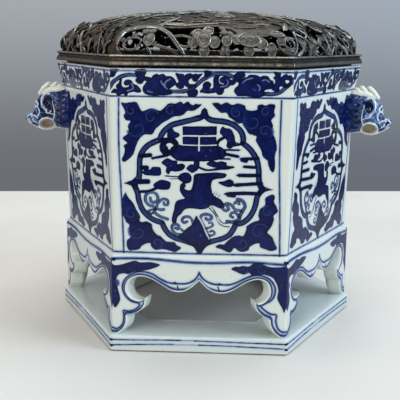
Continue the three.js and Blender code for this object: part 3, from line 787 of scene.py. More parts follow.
def paint_crane(painting):
    """Body and wings in one outline, then the head, beak, feathers and trailing legs."""
    painting.area(CRANE_BODY, rim=0.8)
    painting.area([(-10.8, 40), (-9.8, 41.8), (-7, 42.6), (-4.9, 41.2), (-4.8, 38.8),
                           (-6.6, 37.6), (-9.4, 38.6)], rim=0.8)
    painting.stroke([(-18.4, 41), (-14, 40.7), (-9.6, 40.6)], 0.7, (0.3, 1.0))
    painting.stroke([(-15.8, 39.5), (-12, 39.6), (-9, 39.8)], 0.5, (0.3, 1.0))
    painting.stroke([(-6, 38.2), (-8.6, 37.2)], 1.2)
    for leg in ([(4.6, 25), (7.6, 21.4), (9.3, 17.4), (12, 15.6), (15, 15.2)],
                [(5.8, 25.8), (8.4, 21.6), (10.6, 17.9), (13, 17), (15.2, 17.6)]):
        painting.stroke(leg, 0.6)
    for x, y in ((6, 31), (7.2, 30.6), (8.4, 29.8)):
        painting.stroke([(x, y), (x + 1.6, y + 2.2)], 0.5, (1, 0.2))
    for x in (-1, 1.6, 4.2):
        painting.stroke([(x, 41.5), (x - 1.8, 36), (x - 3, 31.5)], 0.5, (0.6, 0.2))


# %% [markdown]
# Waves are painted from their foot to their crest. The brush presses at the foot, lifts over
# the crest and lets the end roll in.

# %% Waves and rock
WAVES = [
    (1.7, [(-16.5, 18.6), (-20.5, 20.1), (-22.8, 21.8), (-23.4, 24.9), (-25.6, 25.6), (-27.6, 27.9),
        (-27.3, 31), (-25, 32.4), (-22.3, 31.6), (-21.3, 29.2), (-22.6, 27.3), (-24.8, 27.6),
        (-25.2, 29.4)]),
    (1.5, [(-22.6, 23.8), (-20.9, 27.3), (-18.5, 29.1), (-16.4, 28.2), (-16.4, 26.2), (-18, 26),
        (-18.4, 27.2)]),
    (1.3, [(-22.6, 23.4), (-24.4, 23.4), (-26.2, 22.6), (-25.2, 21.3), (-23.8, 21.7)]),
    (1.6, [(-21.6, 23.8), (-19.6, 23.4), (-18.4, 23.6)]),
    (1.5, [(-6.4, 10), (-9.2, 10.6), (-12, 11), (-14, 13), (-14.1, 15.2), (-12.2, 16.1),
        (-10.6, 15), (-11.2, 13.6), (-12.4, 14)]),
    (1.3, [(-6, 12.4), (-8.4, 12.6), (-9.4, 13.4)]),
    (1.5, [(-3.2, 15.4), (-4.2, 18.8), (-6, 20.1), (-8.2, 19.7), (-9.1, 18.1), (-8, 16.9),
        (-6.6, 17.5)]),
    (1.7, [(4.9, 8.6), (3.4, 12.4), (1.8, 15.8), (0.4, 18.6), (0.8, 20.8), (3.2, 21.6), (5.5, 20.8),
        (5.8, 19.2), (4.2, 18.6), (3, 19.4)]),
    (1.3, [(3, 14.2), (5.2, 14.8), (6.5, 16), (5.9, 17.3), (4.6, 17)]),
    (1.3, [(4, 10.6), (6.4, 10.6), (7.5, 11.6), (6.6, 13), (5.3, 12.6)]),
    (1.6, [(20.6, 23.8), (17.6, 24.4), (16.2, 26.2), (14.1, 27.3), (12, 26.5), (11.5, 24.6),
        (13.1, 23.6), (14.5, 24.6), (13.6, 25.8)]),
    (1.9, [(18.8, 29.6), (21.2, 28.9), (22.6, 26.4), (21.6, 23.8), (20.4, 21.6), (19.4, 19),
        (16.6, 17.9), (13.8, 18)]),
    (1.6, [(19.6, 27.2), (18.6, 28.4), (17.4, 27.6)]),
    (1.5, [(19.6, 20.4), (18.2, 22.4), (16.2, 22.6), (15.3, 21.2), (16.6, 20.2)])]


ROCK = [
    (-1.7, 20.2), (-2.9, 17.6), (-4.2, 15.4), (-6.6, 13.6), (-8.4, 11.4), (-11, 9.2), (-6, 6.6),
    (-1.6, 4.6), (0.2, 2), (2.6, 5), (5.4, 7), (4.2, 9.2), (2, 12.8), (0.6, 16.6)]


def paint_waves(painting):
    for width, line in WAVES:
        painting.outlined([line], width, 0.5)
    painting.area(ROCK, rim=0.8)
    painting.scratch([(-0.9, 20), (1.3, 16.4), (3, 12.2), (4.8, 8.6)], 0.55)
    for x in (-5, -1.8, 1.4):
        painting.stroke([(x, 14), (x + 0.6, 10), (x - 0.4, 7.4)], 0.5)


def paint_wall(u, v, solid, mirrored):
    """The whole picture. A mirrored face has its crane flying the other way."""
    painting = Painting(-u if mirrored else u, v)
    paint_waves(painting)
    paint_clouds(painting)
    paint_trigram(painting, solid)
    paint_crane(painting)
    paint_frame(painting)
    return painting.tones


# %% [markdown]
# The walls lean out a little and are 7 mm thick, and each becomes its own slab with a fine
# grid outside. The rows go up the outside and come down the inside.

# %% Walls
WALL_LOW, WALL_HIGH, WALL_EDGES, WALL_THICK, WALL_ROWS = 52.0, 131.65, (87.69, 90.0), 7.0, 206
WALL_TRIGRAMS = {"front": (1, 0, 0), "front_right": (0, 1, 0), "front_left": (0, 0, 0),
                 "back": (0, 1, 1), "back_right": (1, 0, 1), "back_left": (1, 1, 1)}


def painted_slab(name, points, u, v, paint, painted_rows, slot, replaced):
    """A closed slab. Its first rows are painted with paint(u, v), and the rest stays white."""
    mesh = grid_mesh(name, points, close_rows=True, capped=True)
    marks = paint(u[:painted_rows], v[:painted_rows])
    values = {tone: np.full(u.shape, FAR) for tone in marks}
    for tone, numbers in marks.items():
        values[tone][:painted_rows] = numbers
    set_attributes(mesh, values)
    add_piece(name, mesh, glaze, "vessel", slot, [replaced])


def side_slab(name, profile, face, *painting_and_slot):
    """A slab over one side of the hexagon, with its arrises rounded to 1.5 mm."""
    corners = levels(profile)
    points, u = side_grid(corners, face, 1.5, FINE)
    v = np.broadcast_to(climb(corners, face)[:, None], u.shape)
    painted_slab(name, points, u, v, *painting_and_slot)


wall_ends = [(WALL_LOW, WALL_EDGES[0], BODY_PULL), (WALL_HIGH, WALL_EDGES[1], BODY_PULL)]
wall_rows = (between((*wall_ends[0], 0), (*wall_ends[1], 0), WALL_ROWS)
             + between((*wall_ends[1], WALL_THICK), (*wall_ends[0], WALL_THICK), 6))
for face, name in enumerate(FACES):
    side_slab(f"painted_wall_{name}", wall_rows, face,
              lambda u, v, n=name: paint_wall(u, v, WALL_TRIGRAMS[n], "right" in n),
              WALL_ROWS, "porcelain_walls", f"wall_{name}")

# %% [markdown]
# The mouth band stands over the walls. Its outside carries a scroll of peonies, whose stem is
# a double line with a wash in it. The lip is rounded over, as a slab's edge is with a wet
# finger before the glaze goes on.

# %% Mouth band
PEONY_STEMS = [
    [(-46.4, 3), (-45.6, 4.2), (-44.6, 5.6), (-43.4, 7.6), (-41.3, 9.2), (-39.5, 10.3), (-37.1, 11),
     (-34.8, 11.2), (-31.5, 10.9)],
    [(-15.7, 3.4), (-12.4, 3.4), (-8.7, 3.5), (-5.4, 4.3), (-2.7, 6.4), (0, 8.8), (2.2, 10.2),
     (5.3, 11.7), (8.6, 12.3), (12.3, 12), (15.4, 10.8), (18.3, 8.9)],
    [(30.8, 2.9), (34.7, 2.8), (37.7, 3.4), (40, 5), (42.3, 7), (44.6, 9.2), (46, 11)]]
PEONIES = [
    [(-28.6, 4.6), (-27.7, 6.4), (-26.5, 8.1), (-26.6, 9.6), (-24.5, 9.6), (-23.5, 10.9),
     (-22, 11.7), (-20.8, 11.1), (-18.8, 11.6), (-17.5, 10.7), (-15, 10.5), (-13.5, 9.5),
     (-12.5, 7.8), (-13, 6.8), (-14.2, 5.9), (-15.7, 4.8), (-15.9, 4.1), (-14.4, 3.1), (-14.9, 2.2),
     (-17.4, 1.8), (-22.4, 1.5), (-27.5, 2.2)],
    [(19.3, 9.3), (20.6, 10.2), (22.4, 10.8), (23.2, 11.6), (24.2, 11.8), (26.7, 11.6),
     (28.6, 10.8), (30.1, 11.4), (32.3, 11), (33.3, 9.7), (34.8, 8.9), (35.1, 7.4), (34.6, 6.1),
     (33.7, 5.4), (32, 5.2), (30.6, 4.5), (30.6, 3.8), (31.3, 2.6), (29.1, 1.6), (24.5, 1.5),
     (21.5, 1.9), (18.1, 1.8), (16.8, 3.1), (16.3, 4.1), (16.8, 5.4), (17.8, 6.3), (18.6, 7.9)]]
BAND_LEAVES = [
    [(-46.7, 13.5), (-43.7, 13.7), (-40.9, 13.6), (-42, 12.4), (-42.9, 10.6), (-43.9, 10.1),
     (-44.8, 10.2), (-45.3, 11), (-46.6, 11.9)],
    [(-44.1, 2.5), (-43.5, 3.6), (-42.6, 4.2), (-41.6, 3.8), (-40.7, 3.8), (-41.6, 5.2),
     (-41.5, 6.1), (-40.5, 7.2), (-39.5, 9.4), (-39.3, 7.4), (-39.4, 6.3), (-38.6, 5.1),
     (-37.1, 4.8), (-35.5, 5.3), (-35, 5.9), (-35.8, 6.5), (-36.8, 6.2), (-37.6, 6.5), (-37.9, 7.4),
     (-37.1, 8.3), (-35.8, 8.7), (-34.4, 8.2), (-33.5, 6.8), (-31.3, 5.6), (-29.7, 3.4),
     (-31.2, 2.8), (-33.4, 3.3), (-36, 2.3), (-36.7, 1.2), (-37.7, 1.7), (-38.6, 2.1), (-40, 1.5),
     (-41.3, 1.6), (-42.1, 2.4)],
    [(-32.2, 13.5), (-27.6, 13.8), (-27.4, 12.1), (-28.2, 10.6), (-26.3, 10.1), (-24.5, 9.6),
     (-26.4, 8.6), (-28.3, 8.6), (-29, 7.4), (-30.3, 7), (-31.5, 7.6), (-32.3, 8.8), (-31.5, 9.5),
     (-32.2, 11.5)],
    [(-12.5, 12.1), (-11, 11.8), (-9, 11.7), (-8.4, 10.8), (-7.5, 11.6), (-5.5, 12.1), (-4, 11.6),
     (-2.8, 12), (-1.3, 11.7), (0.2, 12.1), (-0.8, 10.9), (-2, 9), (-3, 8.4), (-4.2, 8.9),
     (-4.5, 9.9), (-5.7, 9.6), (-6.4, 8.7), (-6.2, 7.4), (-5, 6.9), (-2.7, 6.7), (-3.9, 5.5),
     (-5.9, 5.2), (-7.2, 5.9), (-8.5, 6.8), (-8.9, 5.4), (-10.4, 4.8), (-11.9, 5.6), (-12.3, 6.8),
     (-10.9, 8.1), (-11.7, 9.8)],
    [(-6.4, 3.7), (-2.4, 4.3), (-1.9, 2.5), (-2.6, 1.5), (-3.9, 1.3), (-5.4, 1.1), (-6.4, 1.7)],
    [(1.4, 13.6), (4, 13.5), (4.8, 12.3), (3.1, 10.9), (1.7, 10.7), (1.6, 12.3)],
    [(-0.5, 3.5), (0.8, 5.2), (1, 7), (2, 8), (3.4, 8.2), (4.6, 7), (3.9, 5.3), (4.9, 4.8),
     (6, 5.4), (6.1, 7.4), (6, 9.4), (6.5, 10.8), (8.6, 11.4), (8.3, 10.2), (8.2, 8.9), (8.8, 7.6),
     (10.4, 6.9), (11.8, 7.3), (12.1, 8.1), (11, 7.9), (9.6, 8.3), (9.1, 9.4), (10, 10.4),
     (11.5, 10.8), (13.1, 10.4), (14.2, 9.2), (15.6, 9.2), (16.6, 8.1), (15.2, 7), (14.1, 7),
     (13.2, 6.1), (11, 5), (10.9, 3.9), (10.1, 2.6), (9.1, 2.2), (8, 2.5), (7.2, 3.4), (3.9, 2.9),
     (0.8, 3.2)],
    [(17.1, 12.5), (17.9, 13.3), (20.6, 13.3), (20.8, 12.5), (21.3, 11.7), (20.5, 10.9),
     (19.5, 10.8), (18.7, 11.2), (19.3, 9.4), (18.7, 8.5), (16.2, 10.3), (15.9, 11.5)],
    [(35.2, 10.9), (36.3, 11.2), (35.5, 13.4), (38.4, 12.8), (38.2, 11.7), (39.1, 10.8),
     (39.7, 11.6), (41.1, 12.2), (42.2, 11.6), (43.1, 11.8), (44, 11.2), (44.1, 10), (43, 9.5),
     (42.2, 9.9), (41, 9.9), (40.5, 9), (41, 8.1), (42.3, 7.8), (43.8, 8.7), (41.5, 6.1),
     (39.2, 6.8), (38.3, 6.8), (37.8, 6.2), (37.9, 4.3), (37, 3.9), (35.9, 4.2), (34.6, 4.9),
     (34.4, 6.1), (35.5, 7.1), (36.2, 8.9)]]
PALE_VEINS = [
    [(-15.2, 9.4), (-17.4, 8), (-18.2, 6), (-16.6, 4.6)], [(-26.4, 3.4), (-24, 2.8)],
    [(-19.8, 8.4), (-19, 6.8), (-17.6, 6.6)], [(20, 8), (22, 9.6), (25, 10.4)],
    [(33, 8.6), (31.4, 9.6), (29.6, 9.2)], [(27.4, 7.2), (28.6, 6), (28.2, 4.4)],
    [(9.4, 6), (12, 6.4), (13, 8), (12.6, 9.4)], [(-36.4, 3.4), (-33.4, 4.6), (-34.4, 6.8)]]


def paint_band(u, v):
    painting = Painting(u, v)
    painting.outlined(PEONY_STEMS, 2.1, 0.6)
    for outline in PEONIES + BAND_LEAVES:
        painting.area(outline, rim=0.7)
    for line in PALE_VEINS:
        painting.scratch(line, 0.5, tones=("ink", "body"))
        painting.stroke(line, 1.2, tone="wash")
    for height in (0.8, 13.25):
        painting.stroke([(-46, height), (-15, height + 0.1), (14, height), (46, height)], 0.5)
        painting.stroke([(-46, height), (46, height)], 1.2, tone="wash")
    return painting.tones


def rounded(z, inset, radius, count, turn=0.0):
    """Quarter circle of steps. It starts upwards, or inwards where turn is 90 degrees."""
    angle = np.linspace(0, math.pi / 2, count) + math.radians(turn)
    return [(z - radius + radius * math.sin(a), inset + radius - radius * math.cos(a))
            for a in angle]


BAND_HIGH, BAND_EDGE, BAND_THICK, LIP, BAND_PAINTED = 146.0, 90.3, 9.0, 1.0, 38
band_rows = (
    between((*wall_ends[1], 0), (BAND_HIGH - LIP, 90.28, MOUTH_PULL + 0.003, 0), 34)
    + at_edge(BAND_EDGE, MOUTH_PULL, rounded(BAND_HIGH, 0, LIP, 6)[1:] + [(BAND_HIGH, 5.0)]
              + rounded(BAND_HIGH, BAND_THICK - 2 * LIP, LIP, 5, 90))
    + [(138.0, 90.15, 0.033, BAND_THICK), (*wall_ends[1], BAND_THICK)])
for face, name in enumerate(FACES):
    side_slab(f"painted_band_{name}", band_rows, face, paint_band, BAND_PAINTED,
              "porcelain_band", f"band_{name}")

# %% [markdown]
# Two courses run right round: the ledge under the walls and the ring on which the feet stand.
# Each is one profile carried round the hexagon, with the painting worked out on every side.

# %% Courses that run round
def course(name, profile, arris, paint, material, slot, replaced, capped=False, flat=FINE,
           body="vessel"):
    """A profile carried round all six sides, closed on itself or capped above and below."""
    corners = levels(profile)
    grids, marks = [], []
    for face in range(6):
        points, u = side_grid(corners, face, arris, flat)
        height = np.broadcast_to(corners[:, :1, 2], u.shape)
        grids.append(points[:, :-1])
        marks.append({tone: held[:, :-1] for tone, held in paint(u, height).items()})
    mesh = grid_mesh(name, np.concatenate(grids, 1), not capped, True, capped)
    set_attributes(mesh, {tone: np.concatenate([m[tone] for m in marks], 1) for tone in marks[0]})
    add_piece(name, mesh, material, body, slot, [replaced])


APRON_FOOT = 6.9
APRON_CLOUDS = [
    [(-46.5, 39.3), (-43.1, 39), (-38.9, 39.8), (-35.5, 41), (-33.1, 41.6), (-30.5, 40.8),
     (-28.1, 40.9), (-25.3, 41.1), (-22.6, 40.6), (-20.4, 39.9), (-23.1, 38.3), (-28.1, 36.9),
     (-31, 36.4), (-33.9, 36.1), (-36.7, 34.7), (-39.6, 35.1), (-42.4, 33.3), (-42.8, 29.7),
     (-41.7, 25.4), (-41, 21.1), (-42.4, 17.6), (-43.9, 16.9), (-44.9, 20.4), (-46.5, 26.9)],
    [(16.7, 38.3), (18.4, 39.8), (20.1, 39.7), (22.6, 40.3), (25.4, 40.1), (28, 41.8), (30.2, 42.1),
     (34, 40.6), (37.6, 39.9), (41, 40), (46.5, 39.7), (46.5, 29.7), (45.1, 19.7), (44, 16.1),
     (42.6, 19), (40.4, 23.3), (40.8, 27.6), (39.6, 31.7), (37.2, 34.8), (32.6, 36.2), (27.6, 35.4),
     (25.8, 36.6), (24.4, 37.4), (22.6, 36)]]
WAVY_LINE = [
    (-46, 42.6), (-38, 43), (-29, 43.1), (-22, 42.8), (-12, 42), (-4, 41.5), (8, 41.5), (18, 42),
    (27, 42.3), (36, 41.8), (46, 41.2)]


def paint_foot_clouds(painting):
    for cloud in APRON_CLOUDS:
        painting.area(cloud, rim=0.5)
        painting.scallops(cloud, 1.1)


def paint_ledge(u, z):
    painting = Painting(u, z - APRON_FOOT)
    paint_foot_clouds(painting)
    painting.washed(WAVY_LINE, 0.55, 1.9)
    for x in (-44.6, 44.6):
        painting.stroke([(x - 1, 42.4), (x + 1, 42.2)], 1.6, tone="body")
    return painting.tones


FOOT_EDGE, LEDGE_LOW, LEDGE_FACE, LEDGE_TOP, LEDGE_IN = 89.8, 46.0, 48.4, 52.0, 1.55
roll = np.linspace(0, math.pi / 2, 12)[1:]
ledge_rows = at_edge(FOOT_EDGE, BODY_PULL, between((LEDGE_LOW, 0), (LEDGE_FACE, 0), 8)
                     + [(LEDGE_FACE + (LEDGE_TOP - LEDGE_FACE) * math.sin(a) ** 0.9,
                         LEDGE_IN * (1 - math.cos(a))) for a in roll] + [(LEDGE_TOP, 4.0)])
course("floor_ledge", ledge_rows, 1.6, paint_ledge, glaze, "porcelain", "floor_slab", True)


def paint_ring(u, z):
    """Two lines that break off near the middle of a side, over a thin wash that goes on."""
    painting = Painting(u, z)
    for line in ([(-48, 6.4), (-30, 6.6), (-14, 6.9), (-9, 6.9)],
                 [(-2, 6.9), (20, 6.6), (38, 6.4), (48, 6.2)],
                 [(-48, 3.4), (-38, 3.8), (-26, 4.3), (-13, 4.6)],
                 [(0, 4.6), (16, 4.5), (32, 4.1), (48, 3.6)]):
        painting.stroke(line, 0.6, (1, 0.4))
        painting.stroke(line, 1.0, tone="wash")
    for line in ([(-48, 6.4), (0, 6.9), (48, 6.2)], [(-48, 3.4), (0, 4.6), (48, 3.6)]):
        painting.stroke(line, 0.7, tone="wash")
    for x, height in ((-45.6, 6.4), (-45.6, 3.2), (45.6, 3.3), (45.6, 6.2)):
        painting.stroke([(x - 0.5, height), (x + 0.5, height)], 1.3)
    return painting.tones


RING_EDGE, RING_TOP, RING_WIDE, RING_ROUND = 91.8, 8.7, 27.0, 1.2
ring_rows = at_edge(RING_EDGE, BODY_PULL, (
    [(0.0, RING_WIDE - 1.0), (0.0, 1.0), (0.5, 0.3), (1.0, 0.0)]
    + between((1.3, 0), (RING_TOP - RING_ROUND, 0), 12)
    + rounded(RING_TOP, 0, RING_ROUND, 6)[1:] + [(RING_TOP, 9.0), (RING_TOP, 18.0)]
    + rounded(RING_TOP, RING_WIDE - 2 * RING_ROUND, RING_ROUND, 5, 90)))
glaze_foot = porcelain("porcelain_foot_ring", (0.64, 0.69, 0.67, 1), unglazed=0.6)
course("foot_ring", ring_rows, 1.6, paint_ring, glaze_foot, "porcelain_base", "base_ring")

# %% [markdown]
# Each apron is cut out into a cloud-headed opening. A grid fits it when one edge follows the
# opening and the other the slab's border: every row then lies between the two, and bends
# where the leg has its hook. The same rows go round the cut edge and along the back.

# %% Aprons
OPENING = [
    (-42.4, 1.6), (-41, 3.2), (-38.6, 5.5), (-37.2, 9), (-37.3, 12.7), (-37.3, 12.7), (-35.2, 13),
    (-32, 14), (-29, 16.4), (-27.8, 19.2), (-27.6, 22), (-27.6, 22), (-29.2, 20.9), (-31.6, 20.7),
    (-34.8, 22), (-37, 25), (-37.2, 28.4), (-35.2, 31.6), (-31, 33.2), (-26.4, 32.6), (-22, 30.5),
    (-18, 28), (-14.4, 26), (-11, 25.3), (-7.4, 25.9), (-3.6, 28.2), (0, 31.6), (0, 31.6),
    (3.6, 28), (7.4, 25.8), (11.2, 25.1), (14.8, 25.7), (18.4, 27.5), (22.2, 30), (26.4, 32.1),
    (30.8, 32.9), (34.4, 31.4), (36, 28), (35.6, 24.6), (33.6, 21.9), (31.2, 20.6), (29.8, 20.6),
    (29, 21.6), (29, 21.6), (29.2, 18.8), (30.4, 16), (33.4, 13.4), (36.2, 12), (36.2, 12),
    (36.8, 8.4), (38.6, 5.2), (41, 3), (42.4, 1.6)]
# Where the rows from a point of the opening end: its number, share of the half width, height
BORDER_STOPS = [
    (0, -1, 1.6), (4.5, -1, 9.8), (10.5, -1, 14.4), (13, -1, 16.6), (14, -1, 19), (15, -1, 25),
    (16.625, -1, 39.1), (18, -0.7, 39.1), (23, -0.25, 39.1), (26.5, 0, 39.1), (30, 0.25, 39.1),
    (35, 0.7, 39.1), (36.375, 1, 39.1), (38, 1, 25), (39, 1, 19), (40, 1, 16.6), (42.5, 1, 14.4),
    (47.5, 1, 9.8), (52, 1, 1.6)]
# How far the middle of a row is drawn aside, so that it follows the hook on the leg
BENDS = [
    (7, 0, 0), (8, 3, 0.7), (9, 5.9, -0.3), (10.5, 6.2, -1.6), (12, 4.6, -0.7), (13, 2.1, -0.8),
    (14, 0, 0), (39, 0, 0), (40, -2.1, -0.8), (41, -4.6, -0.7), (42.5, -6.2, -1.6),
    (44, -5.9, -0.3), (45, -3, 0.7), (46, 0, 0)]
EDGE_LINES = [
    [(0, 36.4), (-0.9, 34.2), (-3, 31.8), (-6, 30.4), (-9, 30.1), (-13, 30.2), (-16, 30.6),
     (-20, 32.4), (-24, 34.9), (-28, 36), (-32, 35.9), (-35.6, 34.2), (-38.4, 31.4), (-39.5, 28),
     (-39, 24.8), (-37.4, 22), (-34.6, 19.9), (-31, 18.9), (-31.4, 17), (-33.8, 15.3),
     (-36.5, 14.6), (-39.1, 14.8), (-38.9, 12), (-39.3, 8.5), (-40.8, 6), (-42.8, 5), (-46, 5.8)],
    [(0, 36.4), (1, 34.2), (3.5, 31.9), (7, 30.4), (10, 30.2), (13, 30.1), (16, 30.3), (19.5, 31.6),
     (23, 33.5), (26.5, 35), (30, 35.6), (33.6, 34.9), (36.6, 33), (38.6, 30), (39, 27), (38.2, 24),
     (36.4, 21.8), (33.5, 20.8), (31, 20.5), (32, 18.8), (34.6, 16.4), (37.4, 14.9), (39.9, 14.6),
     (39.8, 11), (40.8, 7.6), (43, 5.5), (46, 5.6)],
    [(0, 32.6), (-1.4, 30.6), (-4, 28.4), (-7.5, 27.1), (-11, 26.9), (-14.4, 27.6), (-18, 29.5),
     (-22, 31.8), (-26.2, 33.8), (-31, 34.5), (-35.2, 32.9), (-38, 29.4), (-38.1, 25.4),
     (-35.9, 21.8), (-32, 20), (-28.4, 20.9), (-27.6, 20.6), (-29.6, 17), (-32.4, 15),
     (-35.6, 13.9), (-38.1, 13.6), (-38, 9.4), (-39.4, 6.2), (-41.8, 3.9), (-46, 3.6)],
    [(0, 32.6), (1.5, 30.6), (4.2, 28.3), (7.6, 27), (11.2, 26.4), (15, 27.1), (18.6, 29),
     (22.4, 31.4), (26.4, 33.3), (31, 34.1), (35.2, 32.4), (37.1, 28.4), (36.6, 24.2), (34.3, 21),
     (31, 19.6), (28.8, 20.2), (29, 19.8), (31, 16.8), (34, 14.4), (37, 13), (37.8, 8.8),
     (39.6, 5.9), (42, 3.8), (46, 3.4)]]


def paint_apron(u, v):
    painting = Painting(u, v)
    paint_foot_clouds(painting)
    for x, y, radius, start in ((-36, 38.2, 2.2, 30), (-43.2, 30, 2.0, 200), (32, 38.6, 2.4, 150),
                                (43, 30, 2.2, 300), (24, 38, 1.8, 60)):
        painting.pale_curl((x, y), radius, start, 1.0, 0.35)
    for line, widths in zip(EDGE_LINES, ((0.62, 1.5), (0.62, 1.5), (0.4, 2.1), (0.4, 2.1))):
        painting.washed(line, *widths)
    for tick in ([(-12.6, 30.9), (-12, 30)], [(10.6, 30.8), (10.2, 29.9)],
                 [(-11.2, 28.8), (-10.6, 27)], [(9.6, 28.9), (10.4, 27)],
                 [(-37.2, 30), (-38.4, 27.6)]):
        painting.stroke(tick, 0.8)
    return painting.tones


APRON_ROWS = 36


def apron_grid(face, thick=7.5, arris=1.6, soft=1.0, per_stretch=8):
    """Points of one apron, their u and v. A row point is a quadratic Bezier
    from the opening C over M to the border Q: (1-t)^2 C + 2t(1-t) M + t^2 Q."""
    corners = levels([(APRON_FOOT, FOOT_EDGE, BODY_PULL, 0)])
    line, u = side_grid(corners, face, arris, 8)
    corner_a, corner_b = corners[0, face], corners[0, (face + 1) % 6]
    along = (corner_b - corner_a) / FOOT_EDGE
    inward = np.array((-along[1], along[0], 0))
    reach = np.abs(u[0, [0, -1]])
    slope = [(FOOT_EDGE / 2 - r) / ((line[0, end] - corner) @ inward)
             for end, corner, r in ((0, corner_a, reach[0]), (-1, corner_b, reach[1]))]
    opening = smooth_line(OPENING, steps=per_stretch)
    number = np.arange(len(opening)) / per_stretch
    stops, bends = np.array(BORDER_STOPS), np.array(BENDS)
    share = np.interp(number, stops[:, 0], stops[:, 1])
    side = np.where(share < 0, reach[0], reach[1])
    border = np.stack((share * side, np.interp(number, stops[:, 0], stops[:, 2])), 1)
    drawn = [np.interp(number, bends[:, 0], bends[:, k]) for k in (1, 2)]
    middle = (opening + border) / 2 + np.stack(drawn, 1)
    first = soft / (2 * np.linalg.norm(middle - opening, axis=1) + 1e-9)
    t = 1 - np.linspace(0, 1, APRON_ROWS)[:, None] * (1 - first)
    front = ((1 - t) ** 2)[..., None] * opening + (2 * t * (1 - t))[..., None] * middle \
        + (t ** 2)[..., None] * border
    turn = np.linspace(0, math.pi / 2, 6)[1:]
    rolled = opening + (front[-1] - opening) * (1 - np.sin(turn))[:, None, None]
    reveal, back = np.repeat(opening[None], 4, 0), front[::-5]
    flat = np.concatenate((front, rolled, reveal, back))
    depth = np.concatenate((np.zeros(APRON_ROWS), soft * (1 - np.cos(turn)),
                            np.linspace(soft, thick, 6)[1:5], np.full(len(back), thick)))[:, None]
    u, v = flat[..., 0], flat[..., 1]
    limit = np.where(u < 0, reach[0], reach[1])
    narrow = np.where(u < 0, *(FOOT_EDGE / 2 - thick * s for s in slope)) / limit
    radius_start = np.where(u < 0, *(FOOT_EDGE / 2 - arris * s for s in slope))
    over = np.clip(np.abs(u) - radius_start, 0, arris)
    sink = np.where(depth == 0, arris - np.sqrt(arris ** 2 - over ** 2), depth)
    placed = u * (1 - depth / thick * (1 - narrow))
    points = ((corner_a + corner_b) / 2 + placed[..., None] * along + sink[..., None] * inward
              + v[..., None] * np.array((0, 0, 1.0)))
    return points, u, v


for face, name in enumerate(FACES):
    painted_slab(f"pierced_apron_{name}", *apron_grid(face), paint_apron, APRON_ROWS,
                 "porcelain_foot", f"apron_{name}")


# %% [markdown]
# A modelled beast's head stands on each side corner, under the band. Its body is an inflated
# outline: every point of the outline is joined to a spine, and the thickness falls from the
# spine to the outline like a superellipse. Eye, brow and mouth are pressed into that surface.

# %% Heads of the handles
HEAD_OUTLINE = [
    (-7.4, 109), (-7.4, 107.6), (-4, 107.2), (1, 107), (4.8, 107.3), (7.6, 106.3), (10.6, 105.8),
    (13.4, 106.1), (16, 107.1), (18.9, 108.6), (21.3, 110), (23, 112), (22.9, 114.2), (21.6, 116.2),
    (19.6, 116.3), (18, 117.2), (17.1, 119), (17, 121), (16.3, 123), (15.2, 125), (13.5, 126.9),
    (11, 128.4), (7.6, 129.5), (3.4, 130.2), (-2, 130.4), (-6, 130.4), (-7.4, 129.6), (-7.4, 120)]
SPINE = np.array([(-2.0, 118.6), (6.0, 118.6), (13.0, 115.5), (18.6, 112.9)])
HEAD_X, MOUTH_AT, EYE_AT = 85.0, (9.3, 110.0), (8.3, 121.6)


def even_along(line, count):
    """Points at even distances along a line."""
    run = run_along(line)
    where = np.linspace(0, run[-1], count)
    return np.stack([np.interp(where, run, line[:, k]) for k in range(line.shape[1])], 1)


def oval(a, z, centre, half_length, half_width, tilt):
    """1 less the distance from the centre, in an oval's own measure: 0 on its outline."""
    turn = math.radians(tilt)
    along = (a - centre[0]) * math.cos(turn) + (z - centre[1]) * math.sin(turn)
    across = (z - centre[1]) * math.cos(turn) - (a - centre[0]) * math.sin(turn)
    return 1 - np.hypot(along / half_length, across / half_width)


def ridge(value, width):
    return np.exp(-(value / width) ** 2)


def head_relief(a, z):
    """Height over the plain cheek: socket, eyeball and brow, mouth with its lip, mane."""
    eye = oval(a, z, EYE_AT, 5.2, 2.9, 112)
    mouth = oval(a, z, MOUTH_AT, 4.4, 3.1, -8)
    relief = 0.75 * ridge(eye, 0.16) + 0.9 * np.clip(oval(a, z, (8.6, 120.6), 2.3, 1.7, 112), 0, 1)
    relief -= 0.7 * np.clip(eye * 2.5, 0, 1)
    relief += 0.8 * ridge(mouth, 0.13) - 5.0 * np.clip(mouth * 2.2, 0, 1) ** 0.7
    folds = np.clip(1 - np.abs(a - 1.2) / 4.2, 0, 1)
    relief += 0.35 * folds * np.sin(z * 1.9 + 1.2 * np.sin(a))
    ripples = np.clip((a - 14) / 3, 0, 1)
    return relief + 0.35 * ripples * np.sin(2.6 * a + 1.3 * z)


def head_grid(around=360, deep=46):
    """Rows run from the spine over the near side to the outline and back on the far side."""
    outline = even_along(smooth_line(HEAD_OUTLINE, True), around + 1)[:-1]
    share = np.clip((outline[:, 0] + 2) / 20.6, 0, 1) * 20.6 - 2
    spine = np.stack((share, np.interp(share, SPINE[:, 0], SPINE[:, 1])), 1)
    t = np.sin(np.linspace(0, math.pi / 2, deep))[:, None]
    flat = spine + (outline - spine) * t[..., None]
    a, z = flat[..., 0], flat[..., 1]
    power = np.interp(outline[:, 0], [-4, 2], [5.0, 2.5])
    thick = np.interp(a, [-8, 3, 12, 18, 23], [8.6, 8.4, 7.2, 5.4, 3.4])
    half = thick * np.clip(1 - t ** power, 0, 1) ** (1 / power)
    fade = np.clip((1 - t) * 6, 0, 1)
    half = np.maximum(half + head_relief(a, z) * fade, 0)
    near, far = np.stack((a, -half, z), 2), np.stack((a, half, z), 2)[-2::-1]
    both = np.concatenate((near, far))
    return both, both[..., 0], both[..., 2]


